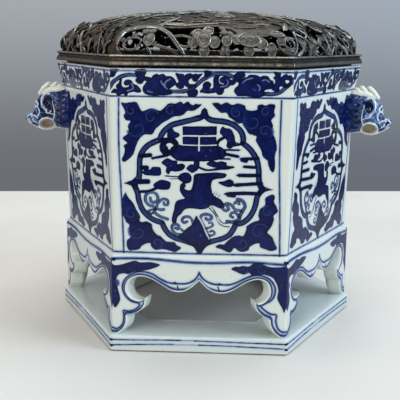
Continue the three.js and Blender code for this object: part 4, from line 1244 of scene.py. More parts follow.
HEAD_PATCH = [
    (-9, 133), (6, 133), (14, 130), (19, 124), (19, 118), (25, 118), (25, 110.6), (20, 108.4),
    (16.4, 107.4), (14.2, 108.8), (14, 111.6), (12, 113.6), (8.6, 114.2), (5.4, 113), (4.2, 110.4),
    (4, 108.2), (0, 107.6), (-9, 107.6)]
PUPIL = [
    (10.4, 126.0), (7.4, 126.4), (6.0, 123.6), (6.6, 120.4), (8.2, 119), (10.2, 120.6),
    (11.0, 123.6)]
HEAD_SCRATCHES = [
    (0.9, [(7.6, 127.6), (10.2, 127.6), (12, 125.4), (12.2, 122.4), (10.8, 119.4), (9.2, 117.8)]),
    (0.7, [(6.4, 118), (7.4, 116.6), (9, 117), (9.2, 118.6)]),
    (0.5, [(5.4, 123.6), (4.5, 119.4), (4.3, 115.6), (5.2, 112.6)]),
    (0.45, [(4.4, 115.4), (7.4, 116.6)]), (0.8, spiral((16, 121.2), 1.5, 40, 0.9, 0.9)),
    (0.7, [(14.4, 119.4), (13.4, 117), (14.6, 114.8)]),
    (0.8, [(14.8, 113.4), (16.6, 114.8), (18.8, 114.4)]),
    (0.8, [(18.4, 115.6), (20.4, 115), (21.8, 113.4)]),
    (0.7, [(16, 110.6), (17.8, 112), (18, 113)]),
    (0.7, [(19.4, 110.6), (20.2, 112.2), (21.4, 112.4)]),
    (1.9, [(12.4, 105.8), (15.6, 107.2), (18.6, 108.6), (21.4, 110.4)])]


def paint_head(a, z):
    """A dark patch leaves white what is round the mouth, and features are scratched into it."""
    painting = Painting(a, z)
    painting.area(HEAD_PATCH, smooth=False)
    painting.area(PUPIL, tone="ink")
    for width, line in HEAD_SCRATCHES:
        painting.scratch(line, width)
    for height in (110.6, 113.8, 117, 120.2, 123.4, 126.4):
        painting.stroke([(0.6, height), (2.4, height + 0.5)], 1.3)
    return painting.tones


def capsule(path, radius, broad=1.0, around=22):
    """A rod along a path in the plane of the head. Its radius falls to nothing at both ends
    as in a half sphere, and the rod is broad times as wide across the head."""
    line = even_along(smooth_line(path, steps=10), 34)
    run = run_along(line)
    rim = np.interp(run / run[-1], np.linspace(0, 1, len(radius)), radius)
    edge = np.minimum(run, run[-1] - run)
    rim = rim * np.sqrt(np.clip(1 - (1 - np.clip(edge / rim, 0, 1)) ** 2, 0.0004, 1))
    forward, turn = unit(np.gradient(line, axis=0)), full_circle(around)
    out = rim[:, None] * np.cos(turn)
    return np.stack((line[:, :1] - forward[:, 1:] * out, broad * rim[:, None] * np.sin(turn),
                     line[:, 1:] + forward[:, :1] * out), 2)


CREST = [
    ([(8.2, 134), (11.4, 130.6), (14.8, 126.2)], [1.3, 1.9, 1.6], 2.2),
    ([(3.8, 134.4), (5.6, 131.6), (8.2, 128.4)], [1.5, 2.3, 2.2], 1.9),
    ([(0.6, 133), (2.2, 131.2), (4.2, 129)], [1.8, 2.3, 2.2], 1.8),
    ([(-3, 129.8), (3, 129.9), (9, 129), (13.8, 126.6)], [2.2, 2.8, 2.5, 1.7], 1.9)]
RIDGE_BUMPS = [(16.6, 122.8), (17.2, 120.6), (17.5, 118.5)]


def head_pieces(side, sign):
    """The head and its crest, mirrored on the left."""
    place = np.array((sign, 1, 1))
    grid, a, z = head_grid()
    mesh = grid_mesh(f"beast_head_{side}", (grid + (HEAD_X, 0, 0)) * place, False, True, sharp=60)
    clay = np.clip(oval(a, z, MOUTH_AT, 4.2, 2.9, -8) * 6, 0, 1)
    thin = np.clip((a + 2) / 14, 0.15, 0.9)
    set_attributes(mesh, {**paint_head(a, z), "clay": clay, "thin": thin})
    add_piece(f"beast_head_{side}", mesh, head_glaze, "vessel", "porcelain_handles",
              [f"handle_{side}"])
    rods = [capsule(path, radius, broad) for path, radius, broad in CREST]
    rods += [capsule([(x - 0.5, height - 0.6), (x + 0.4, height + 0.4)], [0.75, 0.75], 1.5)
             for x, height in RIDGE_BUMPS]
    points = (np.reshape(rods, (-1, 3)) + (HEAD_X, 0, 0)) * place
    quads, caps = many_faces(len(rods), *rods[0].shape[:2])
    mesh = build_mesh(f"head_crest_{side}", points, quads, caps, 60)
    set_attributes(mesh, {tone: np.full(len(points), FAR) for tone in TONES})
    add_piece(f"head_crest_{side}", mesh, head_glaze, "vessel", "porcelain_handles")


head_glaze = porcelain("head_glaze", (0.72, 0.73, 0.66, 1), mouth=True)
for side, sign in (("right", 1), ("left", -1)):
    head_pieces(side, sign)

# %% [markdown]
# The cover is bronze gone dark with age: brown to olive in the hollows, and pale on whatever
# stands proud, partly from rubbing and partly a painted highlight. Three numbers per vertex tell
# the material where that is: how pale rubbing and painted highlight make a point, how deep in
# painted shade it lies, and, on petals, how far out from the petal's middle it is, from which the
# shader draws the chased rings far finer than the mesh.

# %% Bronze
CHASED_RINGS = ((0.74, 0.07), (0.45, 0.06), (0.02, 0.09))


def metal_marks(wear_and_glint, deep=0.0, ring=-1.0):
    """The three numbers of a metal surface. Painted shade and ring may be one number for all of it.
    """
    return {"wear_and_glint": wear_and_glint, "deep": deep + 0 * wear_and_glint, "ring": ring + 0 * wear_and_glint}


def bronze_material(name, low, high, metallic=0.8, rough=(0.26, 0.46)):
    """A chased ring is a pair: its place between middle and edge, and its half width."""
    material, shader, place = new_material(name)
    wear_and_glint, ring, deep = (attribute(place.tree, label) for label in ("wear_and_glint", "ring", "deep"))
    cloudy, fine = place.noise(50.0, 4.0, 0.6), place.noise(420.0, 3.0, 0.6)
    brown = place.noise(24.0, 2.0).ramp(0.45, 0.65, 0.0, 0.75)
    tone = brown.mix(cloudy.mix(low, high), (high[0] * 1.15, high[1] * 0.86, high[2] * 0.62, 1))
    # Pale from rubbing and from painted highlight.
    rub_and_glint = wear_and_glint * fine.ramp(0.2, 0.7, 0.65, 1.0)
    tone = rub_and_glint.mix(tone, (0.60, 0.585, 0.55, 1))
    first, second, third = ((ring - at).maths("ABSOLUTE").ramp(half_width, 0.0)
                            for at, half_width in CHASED_RINGS)
    groove = first.maths("MAXIMUM", second.maths("MAXIMUM", third)) * ring.ramp(-0.04, -0.01)
    # A pale band at each petal's rim: partly rubbing and partly painted highlight.
    edge = ring.ramp(0.80, 0.90) * ring.ramp(1.10, 1.02)
    tone = (groove * 0.75).mix(tone, (*(0.35 * part for part in low[:3]), 1))
    tone = (edge * 0.75).mix(tone, (0.46, 0.45, 0.41, 1))
    # Painted shade: where deep is high the colour goes near black, for the shade inside the slots,
    # under the petals and among the low twigs.
    painted_shade = deep.ramp(0.04, 0.35)
    dull = fine.ramp(0.2, 0.8, *rough) + painted_shade * 0.4
    hammered = place.noise(140.0, 3.0).bump(0.6, 0.0018)
    fill(shader, {"Base Color": painted_shade.mix(tone, (0.0015, 0.0015, 0.002, 1)),
                  "Metallic": cloudy.ramp(0.2, 0.8, metallic, metallic - 0.15),
                  "Specular Tint": (0.45, 0.45, 0.45, 1), "Roughness": dull - rub_and_glint * 0.10,
                  "Normal": (fine - groove * 0.8).bump(0.35, 0.0004, hammered)})
    return material


bronze = bronze_material("patinated_bronze", (0.026, 0.025, 0.025, 1), (0.098, 0.090, 0.075, 1))
copper = bronze_material("dark_copper", (0.055, 0.026, 0.016, 1), (0.190, 0.085, 0.045, 1), 0.9,
                         (0.30, 0.45))

# %% [markdown]
# Unrolled, the dome is a disc. A point's distance from the disc's middle says how far down
# the curve it lies, and its direction stays. Seen from above the dome is a soft hexagon, and
# cut open it is a superellipse, flat on top and steep at the rim, which one exponent gives.

# %% The dome unrolled
DISC, DOME_BASE, DOME_HIGH, DOME_WALL, SOFT_CORNER, SQUARENESS = 95.0, 152.8, 21.8, 2.0, 36, 2.5
RIM_EDGE = 90.7
dome_plan = hexagon(RIM_EDGE, MOUTH_PULL, 2.2)
quarter = np.linspace(0, math.pi / 2, 800)
slope_run = np.hypot(np.diff(80 * np.cos(quarter) ** (2 / SQUARENESS)),
                     np.diff(DOME_HIGH * np.sin(quarter) ** (2 / SQUARENESS)))
share_from_top = 1 - np.concatenate(([0], np.cumsum(slope_run))) / slope_run.sum()


def dome_reach(angle):
    """The reach r in a direction makes the sum over the sides of
    (r x how squarely it faces the side / the side's distance) ^ 36 come to one."""
    along = np.roll(dome_plan, -1, 0) - dome_plan
    outward = unit(np.stack((along[:, 1], -along[:, 0]), 1))
    away = (outward * dome_plan).sum(1)
    total = sum(np.maximum(0, (np.cos(angle) * o[0] + np.sin(angle) * o[1]) / a) ** SOFT_CORNER
                for o, a in zip(outward, away))
    return total ** (-1 / SOFT_CORNER)


def dome_point(x, y):
    """Place on the dome of a point of the disc. The turn t comes from the run of the curve,
    then r = reach cos(t) ^ 0.8 and z = base + height sin(t) ^ 0.8. Past the rim it drops."""
    out, angle = np.hypot(x, y), np.arctan2(y, x)
    turn = np.interp(out / DISC, share_from_top[::-1], quarter[::-1])
    reach = dome_reach(angle) * np.cos(turn) ** (2 / SQUARENESS)
    high = DOME_BASE + DOME_HIGH * np.sin(turn) ** (2 / SQUARENESS) - np.maximum(0, out - DISC)
    return np.stack((reach * np.cos(angle), reach * np.sin(angle), high), -1)


def dome_normal(x, y, step=0.6):
    """Cross product of the two slopes, each taken between points a step either way."""
    across = dome_point(x + step, y) - dome_point(x - step, y)
    along = dome_point(x, y + step) - dome_point(x, y - step)
    return unit(np.cross(across, along))


def above_dome(x, y, level):
    """Points at a level over the dome, and the normals there."""
    normal = dome_normal(x, y)
    return dome_point(x, y) + normal * (level + 0 * x)[..., None], normal


print("dome top", dome_point(np.zeros(1), np.zeros(1)).round(1).tolist())

# %% [markdown]
# The front of the cover shows prunus in flower: a bough that springs from the plate and
# forks, round ringed blossoms and buds, and small leaves, all cut right through. The back
# repeats it turned half round. Places are in millimetres on the unrolled disc, front below.

# %% Prunus on the cover
PLATE_BORDER = [
    (-76, 4), (-77, -5), (-75, -14), (-77, -22), (-71, -29), (-70, -37), (-64, -43), (-62, -52),
    (-57, -57), (-57, -66), (-52, -71), (-52, -82), (-47, -86), (-43, -88), (-43.6, -80),
    (-41.8, -75), (-35.5, -69.6), (-30.5, -71.2), (-22, -74), (-12, -75.5), (-2, -75), (8.5, -73.4),
    (11, -75.5), (15.5, -76.5), (19.5, -80.2), (23, -78.2), (26.5, -77.8), (28.8, -75.6),
    (31.6, -77.4), (34.4, -75.4), (36, -70), (38, -66), (41.5, -63), (46, -62), (52, -57),
    (55, -50), (63, -46), (65, -37), (72, -31), (71, -22), (77, -14), (75, -5)]
SLOTS = [
    (1.8, [(-44, -55), (-40.5, -48.5), (-37, -38)]), (2.4, [(-30.5, -52), (-22.5, -56.5)]),
    (2.6, [(-23, -62.5), (-17.5, -64.5), (-12, -65)]), (2.2, [(-5.5, -67.5), (-1.5, -67.5)]),
    (2, [(1, -62.5), (3.5, -62)]), (2.4, [(17.5, -60), (22, -58.5)]),
    (2, [(23, -62.8), (26, -61.8)]), (2.6, [(28, -53.5), (32, -51)]), (1.8, [(29, -66), (31, -65)]),
    (3, [(34.5, -60), (39, -61)]), (2.4, [(44.5, -56.5), (47.5, -53.5)]),
    (2.4, [(61.5, -42), (65, -35.5)]), (2.2, [(-66, -24), (-67.5, -15)]),
    (2.4, [(-56, -40), (-51, -47)]), (1.8, [(-52, -32), (-55, -24)]), (2, [(-60, -8), (-59, -1)]),
    (2.2, [(54, -30), (57, -21)]), (2, [(47, -40), (51, -34)]), (1.8, [(62, -22), (63.5, -13)]),
    (1.8, [(-49, -62), (-46.5, -66)]), (1.6, [(-40, -62.5), (-36, -65.5)]),
    (1.8, [(8, -69), (13, -68.4)]), (1.6, [(58, -6), (58, 1)])]
CROWN_SLOTS = [
    (2, [(12.5, -5.5), (14.5, 0), (12.5, 5.5)]), (1.8, [(21, -9), (25.5, -13), (31, -13)]),
    (1.8, [(21.5, 9), (26.5, 12), (31, 10)]), (2.2, [(41.5, -9), (44, -2), (42.5, 6)])]
BOUGHS = [
    (2.7, 0.9, [(-43.5, -79.5), (-41, -75.6), (-37.5, -72.6), (-32, -72.2), (-27, -73.6),
        (-23.5, -75.8), (-20, -79.8), (-17.5, -83), (-15.5, -86.7), (-13, -90.5), (-10, -95)]),
    (1.7, 1.5, [(-22.5, -75.4), (-20.5, -73.4), (-13, -75.8), (-8, -76.4), (-2, -75.8), (4, -75),
        (9, -74)]),
    (1.6, 0.6, [(-17, -84.4), (-12, -84), (-7, -85.6), (-3, -87)]),
    (1.5, 0.4, [(-14, -89), (-10, -90.6), (-6, -90), (-2, -89)]),
    (1.1, 0.6, [(-28, -85.6), (-26, -86.3), (-20.5, -89.3), (-13.5, -92.5)]),
    (1.1, 0.3, [(-27.5, -85.5), (-24, -88), (-18.5, -90.8), (-14, -95)]),
    (1.3, 0.2, [(-30.5, -85), (-29.5, -90), (-31, -95)]),
    (1.2, 0.5, [(9.5, -74), (10.6, -78.5), (13, -82), (14, -87)]),
    (1.3, 0.4, [(8, -87.5), (11, -87), (14, -87)]), (1.2, 0.2, [(13.6, -87), (13, -95)]),
    (1.5, 0.5, [(34, -76), (36, -74), (39.5, -78), (43, -80)]),
    (1.3, 0.2, [(26.3, -89), (26.3, -93.5)]),
    (1.4, 0.3, [(38.5, -84), (41, -82), (47, -80.5), (52, -78)]),
    (1.2, 0.2, [(37.4, -86), (36.5, -90)]),
    (1.6, 0.8, [(41, -63.5), (44.5, -66.5), (46.6, -71), (48.5, -76), (49, -83)]),
    (1.4, 0.5, [(46, -73), (42, -74.5), (43, -77)]),
    (1.1, 0.6, [(11, -75.5), (15.5, -76.8), (19, -80), (22.6, -79.4)]),
    (1.1, 0.6, [(22.6, -79.4), (26, -79.2), (28.8, -77.2)]),
    (1.1, 0.6, [(28.8, -77.2), (32, -78.4), (34.8, -75.6)]),
    (1, 0.9, [(-24.5, -72.5), (-20, -70.6), (-13, -72.4), (-8.5, -74.2)]),
    (1.2, 0.9, [(33.5, -75), (36.5, -72.4), (40, -73.6), (41.2, -76.4), (38, -77.6)]),
    (1, 0.9, [(-6.6, -84), (-4.2, -80.8), (-1.4, -82.6)]),
    (0.8, 0.2, [(-45.5, -55), (-42, -48.5), (-38.5, -38)]),
    (0.8, 0.2, [(-52, -72), (-47, -66), (-43, -60), (-36, -57)]),
    (0.8, 0.2, [(14, -72), (20, -73.5), (27, -71), (33, -66)])]
PETALS = [
    (1, -87.6, 4.2, 4.1, 0, 2), (-5, -88.6, 3.2, 3.2, 0, 1), (6.8, -88.2, 3.5, 3.3, 0, 1.1),
    (1.2, -93, 3.3, 3.2, 0, 0.6), (-2.6, -83.8, 2.6, 2.9, 30, 0.9), (3.2, -81.8, 2.7, 2.8, 0, 1),
    (10.6, -78.4, 1.8, 1.5, 0, 1.2), (12, -81.9, 1.8, 1.7, 0, 1.5), (15.4, -82.2, 1.7, 1.6, 0, 1.3),
    (13.8, -87, 2.9, 2.9, 0, 1.7), (12.2, -91.8, 1.5, 2.8, -12, 0.6),
    (14.9, -91.6, 1.4, 2.7, 14, 0.6), (25.2, -84, 6.4, 3.3, 12, 2), (18.9, -84.8, 3.2, 3, 10, 1.3),
    (31.8, -83.4, 3.1, 2.8, 10, 1.3), (22.2, -81.6, 3.6, 2.2, 0, 1.1),
    (28.4, -81.2, 3.6, 2.2, 0, 1.1), (26.4, -89, 3, 2.9, 0, 0.6), (37.4, -74.8, 3.4, 1.9, 20, 0.9),
    (37.4, -84.4, 2.3, 3.8, 22, 0.7), (39.6, -79, 1.8, 1.7, 0, 1.2), (46, -80.6, 4.4, 1.7, 25, 0.6),
    (-28.5, -82.5, 3, 3.6, -15, 1), (-29.4, -76.8, 1.9, 1.6, 0, 1), (-26.4, -77.4, 1.9, 1.5, 0, 1),
    (-34.6, -77.4, 1.6, 1.2, 20, 0.4), (-40.4, -77.6, 1.5, 1.2, -30, 0.4)]
LOOPS = [
    (1.3, 0.4, -36.8, -81.6, 4.2, 3.2), (1.4, 0.6, 44, -77.4, 2.9, 2.6),
    (1, 1.4, -2.6, -83.8, 2.6, 3), (1.1, 1.5, 3.2, -81.8, 2.8, 2.9)]


class Openwork:
    """Sheet metal on the disc: how far inside the metal each point lies, and how pale it is from
    rubbing and painted highlight."""

    def __init__(self, x, y, border):
        self.guide = Painting(x, y)
        self.guide.area(border)
        self.metal, self.wear_and_glint = self.guide.tones["body"].astype(float), np.zeros(x.shape)

    def slot(self, width, points):
        """Cut through, with a pale lip on either side, partly from rubbing and partly painted
        highlight.
        """
        line = smooth_line(points)
        where = self.guide.near(line, width + 2)
        taper = width * np.clip(np.minimum(np.linspace(0.4, 4, len(line)),
                                           np.linspace(4, 0.4, len(line))), 0, 1)
        inside = self.guide.distance(line, taper, where)
        self.metal[where] = np.minimum(self.metal[where], -inside)
        lip = 0.22 * np.exp(-((inside + 0.5) / 0.35) ** 2)
        self.wear_and_glint[where] = np.maximum(self.wear_and_glint[where], lip)


def turned(points, degrees):
    a = math.radians(degrees)
    points = np.asarray(points, float)
    return points @ np.array([[math.cos(a), math.sin(a)], [-math.sin(a), math.cos(a)]])


def scattered_slots(draw):
    """Short bowed slots on rings round the middle, each turned a little its own way."""
    for ring in (20, 29, 38, 47, 56, 65):
        for share in np.arange(0, 1, 11.5 / (2 * math.pi * ring)):
            angle, lean = 2 * math.pi * share + draw.uniform(-0.1, 0.1), draw.uniform(-0.8, 0.8)
            middle = (ring + draw.uniform(-3, 3)) * np.array((math.cos(angle), math.sin(angle)))
            lean += angle
            run = draw.uniform(1.6, 3.4) * np.array((-math.sin(lean), math.cos(lean)))
            bow = draw.uniform(-0.35, 0.35) * np.array((-run[1], run[0]))
            yield draw.uniform(1.8, 3.8), [middle - run, middle + bow, middle + run]


PLATE_REACH, CROWN_TURN, SLOT_WIDEN = 69, 14, 1.35


def cut_plate(x, y):
    """The plate and all its cuts, the listed ones repeated half a turn round."""
    work = Openwork(x, y, np.concatenate((PLATE_BORDER, turned(PLATE_BORDER, 180))))
    for half_turn in (0, 180):
        for width, points in SLOTS:
            work.slot(SLOT_WIDEN * width, turned(points, half_turn))
    for width, points in scattered_slots(np.random.default_rng(5)):
        if np.hypot(*points[1]) < PLATE_REACH:
            work.slot(width, points)
    for sixth in range(6):
        for width, points in CROWN_SLOTS:
            work.slot(width, turned(points, 60 * sixth + CROWN_TURN))
    return work


print("petals", 2 * len(PETALS), "boughs", 2 * len(BOUGHS), "slots", 2 * len(SLOTS))

# %% [markdown]
# A square net over the disc keeps only the squares that lie in metal. The corners along a
# cut are then pulled onto it: each moves down the slope of the distance by the distance
# itself. The inner skin is the outer one sunk by the wall, and strips close all the edges.

# %% The pierced plate
CELL = 0.68


def pierced_plate():
    """Points, faces and numbers. Crossed sine waves 0.16 high hammer the outer skin, which
    sinks by 0.3 mm towards every cut."""
    ticks = np.arange(-DISC - 1, DISC + 1 + CELL, CELL)
    x, y = np.meshgrid(ticks, ticks)
    work = cut_plate(x, y)
    metal = work.metal
    kept = neighbours(metal).mean(-1) > 0
    quads = neighbours(np.arange(x.size).reshape(x.shape))[kept]
    uses = np.bincount(quads.ravel(), minlength=x.size).reshape(x.shape)
    slope_y, slope_x = np.gradient(metal, CELL)
    steep = np.maximum(np.hypot(slope_x, slope_y), 0.5)
    rim = (uses > 0) & (uses < 4)
    pull = np.where(rim, np.clip(-metal / steep, -0.55 * CELL, 0.55 * CELL), 0)
    x, y = x + pull * slope_x / steep, y + pull * slope_y / steep
    edge = np.clip(metal / 0.9, 0, 1)
    high = 0.16 * np.sin(0.9 * x + 2.0 * np.sin(0.6 * y)) * np.sin(0.8 * y + 2.0 * np.sin(0.7 * x))
    high = (high + 0.3) * edge - 0.3
    used = np.unique(quads)
    x, y = x.ravel()[used], y.ravel()[used]
    outer, normal = above_dome(x, y, high.ravel()[used])
    inner = dome_point(x, y) - normal * DOME_WALL
    renumber = np.zeros(metal.size, int)
    renumber[used] = np.arange(len(used))
    quads = renumber[quads]
    sides = np.concatenate([quads[:, [a, b]] for a, b in ((0, 1), (1, 2), (2, 3), (3, 0))])
    keys = sides[:, 0].astype(np.int64) * len(used) + sides[:, 1]
    back = sides[:, 1].astype(np.int64) * len(used) + sides[:, 0]
    open_sides = sides[~np.isin(keys, back)]
    skirts = np.stack((open_sides[:, 1], open_sides[:, 0], open_sides[:, 0] + len(used),
                       open_sides[:, 1] + len(used)), -1)
    faces = np.concatenate((quads, quads[:, ::-1] + len(used), skirts))
    # Faintly pale near the cuts, from rubbing and painted highlight. The inner skin gets full
    # painted shade, near black, and the strips go from none to full.
    wear_and_glint = np.maximum(work.wear_and_glint, np.where(edge < 0.9, 0.04, 0)).ravel()[used]
    none = np.zeros(len(wear_and_glint))
    return (np.concatenate((outer, inner)), faces,
            metal_marks(np.concatenate((wear_and_glint, none)), np.concatenate((none, none + 1))))


plate_points, plate_faces, plate_values = pierced_plate()
plate_mesh = build_mesh("cover_openwork", plate_points, plate_faces, sharp=50.0)
set_attributes(plate_mesh, plate_values)
add_piece("cover_openwork", plate_mesh, bronze, "cover", "cover_bronze", ["cover_dome"])

# %% [markdown]
# Boughs, twigs and leaves are tubes along paths over the dome, round or pressed flat, and a
# petal is a small dish. One array holds the rings of all the tubes of a kind at once, and
# one holds all the dishes, so that hundreds of them cost a few lines.

# %% Tubes and dishes on the dome
def many_tubes(paths, normals, radii, around=6, flat=1.0):
    """Rings across each path: r (cos a x side + flat x sin a x up), side = path x normal."""
    run, angle = unit(np.gradient(paths, axis=1)), full_circle(around)
    side = unit(np.cross(run, normals))
    up = np.cross(side, run)
    ring = (np.cos(angle)[:, None] * side[:, :, None]
            + flat * np.sin(angle)[:, None] * up[:, :, None])
    points = paths[:, :, None] + radii[..., None, None] * ring
    rise = np.broadcast_to(np.sin(angle), points.shape[:3])
    return points.reshape(-1, 3), *many_faces(*points.shape[:3]), rise.ravel()


def dishes(rows, around=16):
    """Each row is (x, y, half width, half height, turn, level). Over the radius q the dish is
    level + 0.5 (1 - q^2), with a rim of height 0.3 at q = 0.87, and its underside is flat."""
    x, y, wide, tall, turn, level = (np.array(column)[:, None, None] for column in zip(*rows))
    q = np.array([0.03, 0.14, 0.28, 0.44, 0.58, 0.7, 0.79, 0.87, 0.95, 1.0, 1.0, 0.85, 0.03])
    top = 0.5 * (1 - q ** 2) + 0.3 * np.exp(-((q - 0.87) / 0.09) ** 2)
    top[10:] = (-0.7, -0.9, -0.9)
    angle = full_circle(around)
    across, along = q[:, None] * wide * np.cos(angle), q[:, None] * tall * np.sin(angle)
    a = np.radians(turn)
    px = x + across * np.cos(a) - along * np.sin(a)
    py = y + across * np.sin(a) + along * np.cos(a)
    points = above_dome(px, py, level + top[:, None])[0]
    ring = np.broadcast_to(np.where(np.arange(len(q)) < 10, q, -1.0)[:, None], px.shape)
    return points.reshape(-1, 3), *many_faces(*px.shape), ring.ravel()


def metal_piece(name, groups, sharp=45.0):
    """Joins groups of (points, quads, caps, values) into one piece of the cover."""
    start, quads, caps = 0, [], []
    for points, part_quads, part_caps, _ in groups:
        quads.append(part_quads + start)
        caps += [cap + start for cap in part_caps]
        start += len(points)
    mesh = build_mesh(name, np.concatenate([g[0] for g in groups]), np.concatenate(quads), caps,
                      sharp)
    set_attributes(mesh, {key: np.concatenate([g[3][key] for g in groups])
                          for key in ("wear_and_glint", "ring", "deep")})
    add_piece(name, mesh, bronze, "cover", "cover_bronze")


def wear_glint_and_shade(group, wear_and_glint_strength, edges=False, sunk=0.0):
    """Makes the top of each tube, or the two lines beside it, pale from rubbing and painted
    highlight, and gives its underside painted shade. A sunk tube gets painted shade all over."""
    points, quads, caps, rise = group
    wear_and_glint_strength = np.repeat(wear_and_glint_strength, len(rise) // np.size(wear_and_glint_strength))
    sunk = np.repeat(sunk, len(rise) // np.size(sunk))
    wear_and_glint = np.exp(-((rise - 0.5) / 0.3) ** 2) if edges else np.clip(rise, 0, 1) ** 2
    return points, quads, caps, metal_marks(wear_and_glint_strength * wear_and_glint, np.clip(sunk - 0.25 * rise, 0, 1))


def bough_tubes(rows, steps=26):
    """Tubes along given lines, which thin a little towards their far ends."""
    lines = np.array([even_along(smooth_line(points), steps) for _, _, points in rows])
    x, y = lines[..., 0], lines[..., 1]
    level = np.array([level for _, level, _ in rows])[:, None]
    share = np.linspace(0, 1, steps)
    width = np.array([width for width, _, _ in rows])[:, None] * (1.05 - 0.3 * share)
    width *= np.clip(8 * np.minimum(share, 1 - share) + 0.3, 0.3, 1)
    # Higher boughs are paler, from more rubbing and painted highlight.
    wear_and_glint_strength = np.where(level > 0.8, 1.2, 0.6).ravel()
    return wear_glint_and_shade(many_tubes(*above_dome(x, y, level), width / 2, 10, 0.8), wear_and_glint_strength, True)


CROWN_BOUGHS = [
    (2.4, [(10, 3), (18, 3), (26, -3), (36, 2), (47, -4), (60, 3), (71, -2)]),
    (1.8, [(36, 2), (43, 11), (51, 13), (57, 20), (66, 21)]),
    (1.4, [(26, -3), (31, -10), (38, -13)]), (1.4, [(47, -4), (53, -11), (62, -14)])]


def petals_round(middle, away, half_size, level, first=0):
    """Five round petals about a middle."""
    return [(*(middle + turned([(away, 0)], 72 * k + first)[0]), half_size, half_size, 0, level)
            for k in range(5)]


crown_boughs = []
crown_petals = [(0, 0, 3.0, 3.0, 0, 1.3), *petals_round(np.zeros(2), 5.4, 4.2, 0.4, 90)]
for sixth in range(6):
    crown_boughs += [(width, 0.3, turned(points, 60 * sixth + CROWN_TURN))
                     for width, points in CROWN_BOUGHS]
    for heart in turned([(28, 15), (45, 24)], 60 * sixth + CROWN_TURN):
        crown_petals += [*petals_round(heart, 3.4, 2.5, 0.3), (*heart, 1.9, 1.9, 0, 0.8)]
circle = np.linspace(0, 2 * math.pi, 17)
for width, level, x, y, wide, tall in LOOPS:
    loop = np.stack((x + wide * np.cos(circle), y + tall * np.sin(circle)), 1)
    BOUGHS.append((width, level, loop))
for half_turn in (0, 180):
    crown_boughs += [(width, level, turned(points, half_turn)) for width, level, points in BOUGHS]
    crown_petals += [(*turned([row[:2]], half_turn)[0], *row[2:]) for row in PETALS]
points, quads, caps, ring = dishes(crown_petals)
# Petal undersides get painted shade.
petal_values = metal_marks(np.full(len(ring), 0.20), np.where(ring < 0, 0.3, 0), ring)
metal_piece("cover_boughs", [bough_tubes(crown_boughs)])
metal_piece("cover_blossoms", [(points, quads, caps, petal_values)])

# %% [markdown]
# Below the plate the sides are a thicket of short twigs and leaves, drawn by chance from a
# fixed seed. Each twig has few faces, because there are hundreds of them.

# %% Thicket of twigs and leaves
# Middle and half spread in degrees, twigs, leaves, and how near the crown they begin
THICKETS = {"front_left": (208, 27, 54, 74, 72), "front_right": (330, 29, 84, 44, 72),
            "back_right": (30, 29, 70, 62, 72), "back_left": (150, 29, 70, 62, 72),
            "back": (90, 29, 64, 56, 84)}


def thicket(middle, spread, twigs, leaves, highest, draw):
    """Short twigs lean either way between the rim and the plate, and leaves lie over them."""
    steps = np.linspace(0, 1, 7)
    foot = np.radians(middle + draw.uniform(-spread, spread, twigs))
    low = np.where(np.arange(twigs) % 2 == 0, DISC + 0.4, draw.uniform(highest + 8, 94, twigs))
    top = np.maximum(low - draw.uniform(4, 13, twigs), highest - 1)
    lean = draw.uniform(2, 14, twigs) * np.where(np.arange(twigs) % 4 < 2, 1, -1)
    out = low[:, None] + (top - low)[:, None] * steps
    bend = draw.uniform(-3.6, 3.6, twigs)[:, None] * np.sin(math.pi * steps)
    shift = lean[:, None] * steps + bend + 0.4 * np.sin(8 * steps + foot[:, None] * 40)
    angle = foot[:, None] + shift / 88
    x, y = out * np.cos(angle), out * np.sin(angle)
    level = draw.uniform(-0.9, 1.2, twigs)[:, None] + 0.5 * np.sin(5 * steps + foot[:, None] * 30)
    radii = draw.uniform(0.45, 1.0, twigs)[:, None] * (1.25 - 0.5 * steps)
    wear_and_glint_strength = draw.uniform(0.1, 1.0, twigs)
    height = level.mean(1)
    # Higher twigs are paler and lower ones darker: painted highlight and painted shade among the
    # twigs, besides rubbing.
    stems = wear_glint_and_shade(many_tubes(*above_dome(x, y, level), radii),
                        wear_and_glint_strength * np.where(height > 0.5, 1.3, 0.8),
                        sunk=np.clip(0.42 - 0.36 * height, 0, 0.55))
    blade = np.linspace(-1, 1, 7)
    long, wide = draw.uniform(2.2, 4.2, leaves), draw.uniform(1.1, 2.2, leaves)
    at = np.radians(middle + draw.uniform(-spread, spread, leaves))
    far = draw.uniform(highest + 1, 93, leaves)
    tilt = at + draw.normal(0, 1.0, leaves)
    curve = draw.uniform(-1.5, 1.5, leaves)[:, None] * (1 - blade ** 2)
    cos_tilt, sin_tilt = np.cos(tilt)[:, None], np.sin(tilt)[:, None]
    x = (far * np.cos(at))[:, None] + long[:, None] * blade * cos_tilt - curve * sin_tilt
    y = (far * np.sin(at))[:, None] + long[:, None] * blade * sin_tilt + curve * cos_tilt
    scale = np.minimum(1, DISC / np.hypot(x, y))
    x, y = x * scale, y * scale
    start, slant = draw.uniform(0.3, 1.7, leaves)[:, None], draw.uniform(-0.9, 0.9, leaves)[:, None]
    width = wide[:, None] * np.clip(1 - np.abs(blade) ** 2.2, 0.05, 1)
    blades = many_tubes(*above_dome(x, y, start + slant * blade), width, 6, 0.3)
    return stems, wear_glint_and_shade(blades, draw.uniform(0, 0.8, leaves) ** 2)


for seed, (side, numbers) in enumerate(THICKETS.items()):
    metal_piece(f"cover_thicket_{side}", thicket(*numbers, np.random.default_rng(11 + seed)), 60.0)

# %% [markdown]
# The rim is one moulding carried round: a broad bead below, a cove, and a thin bead on top
# that catches the light. The profile gives each height the inset of its bead or cove.

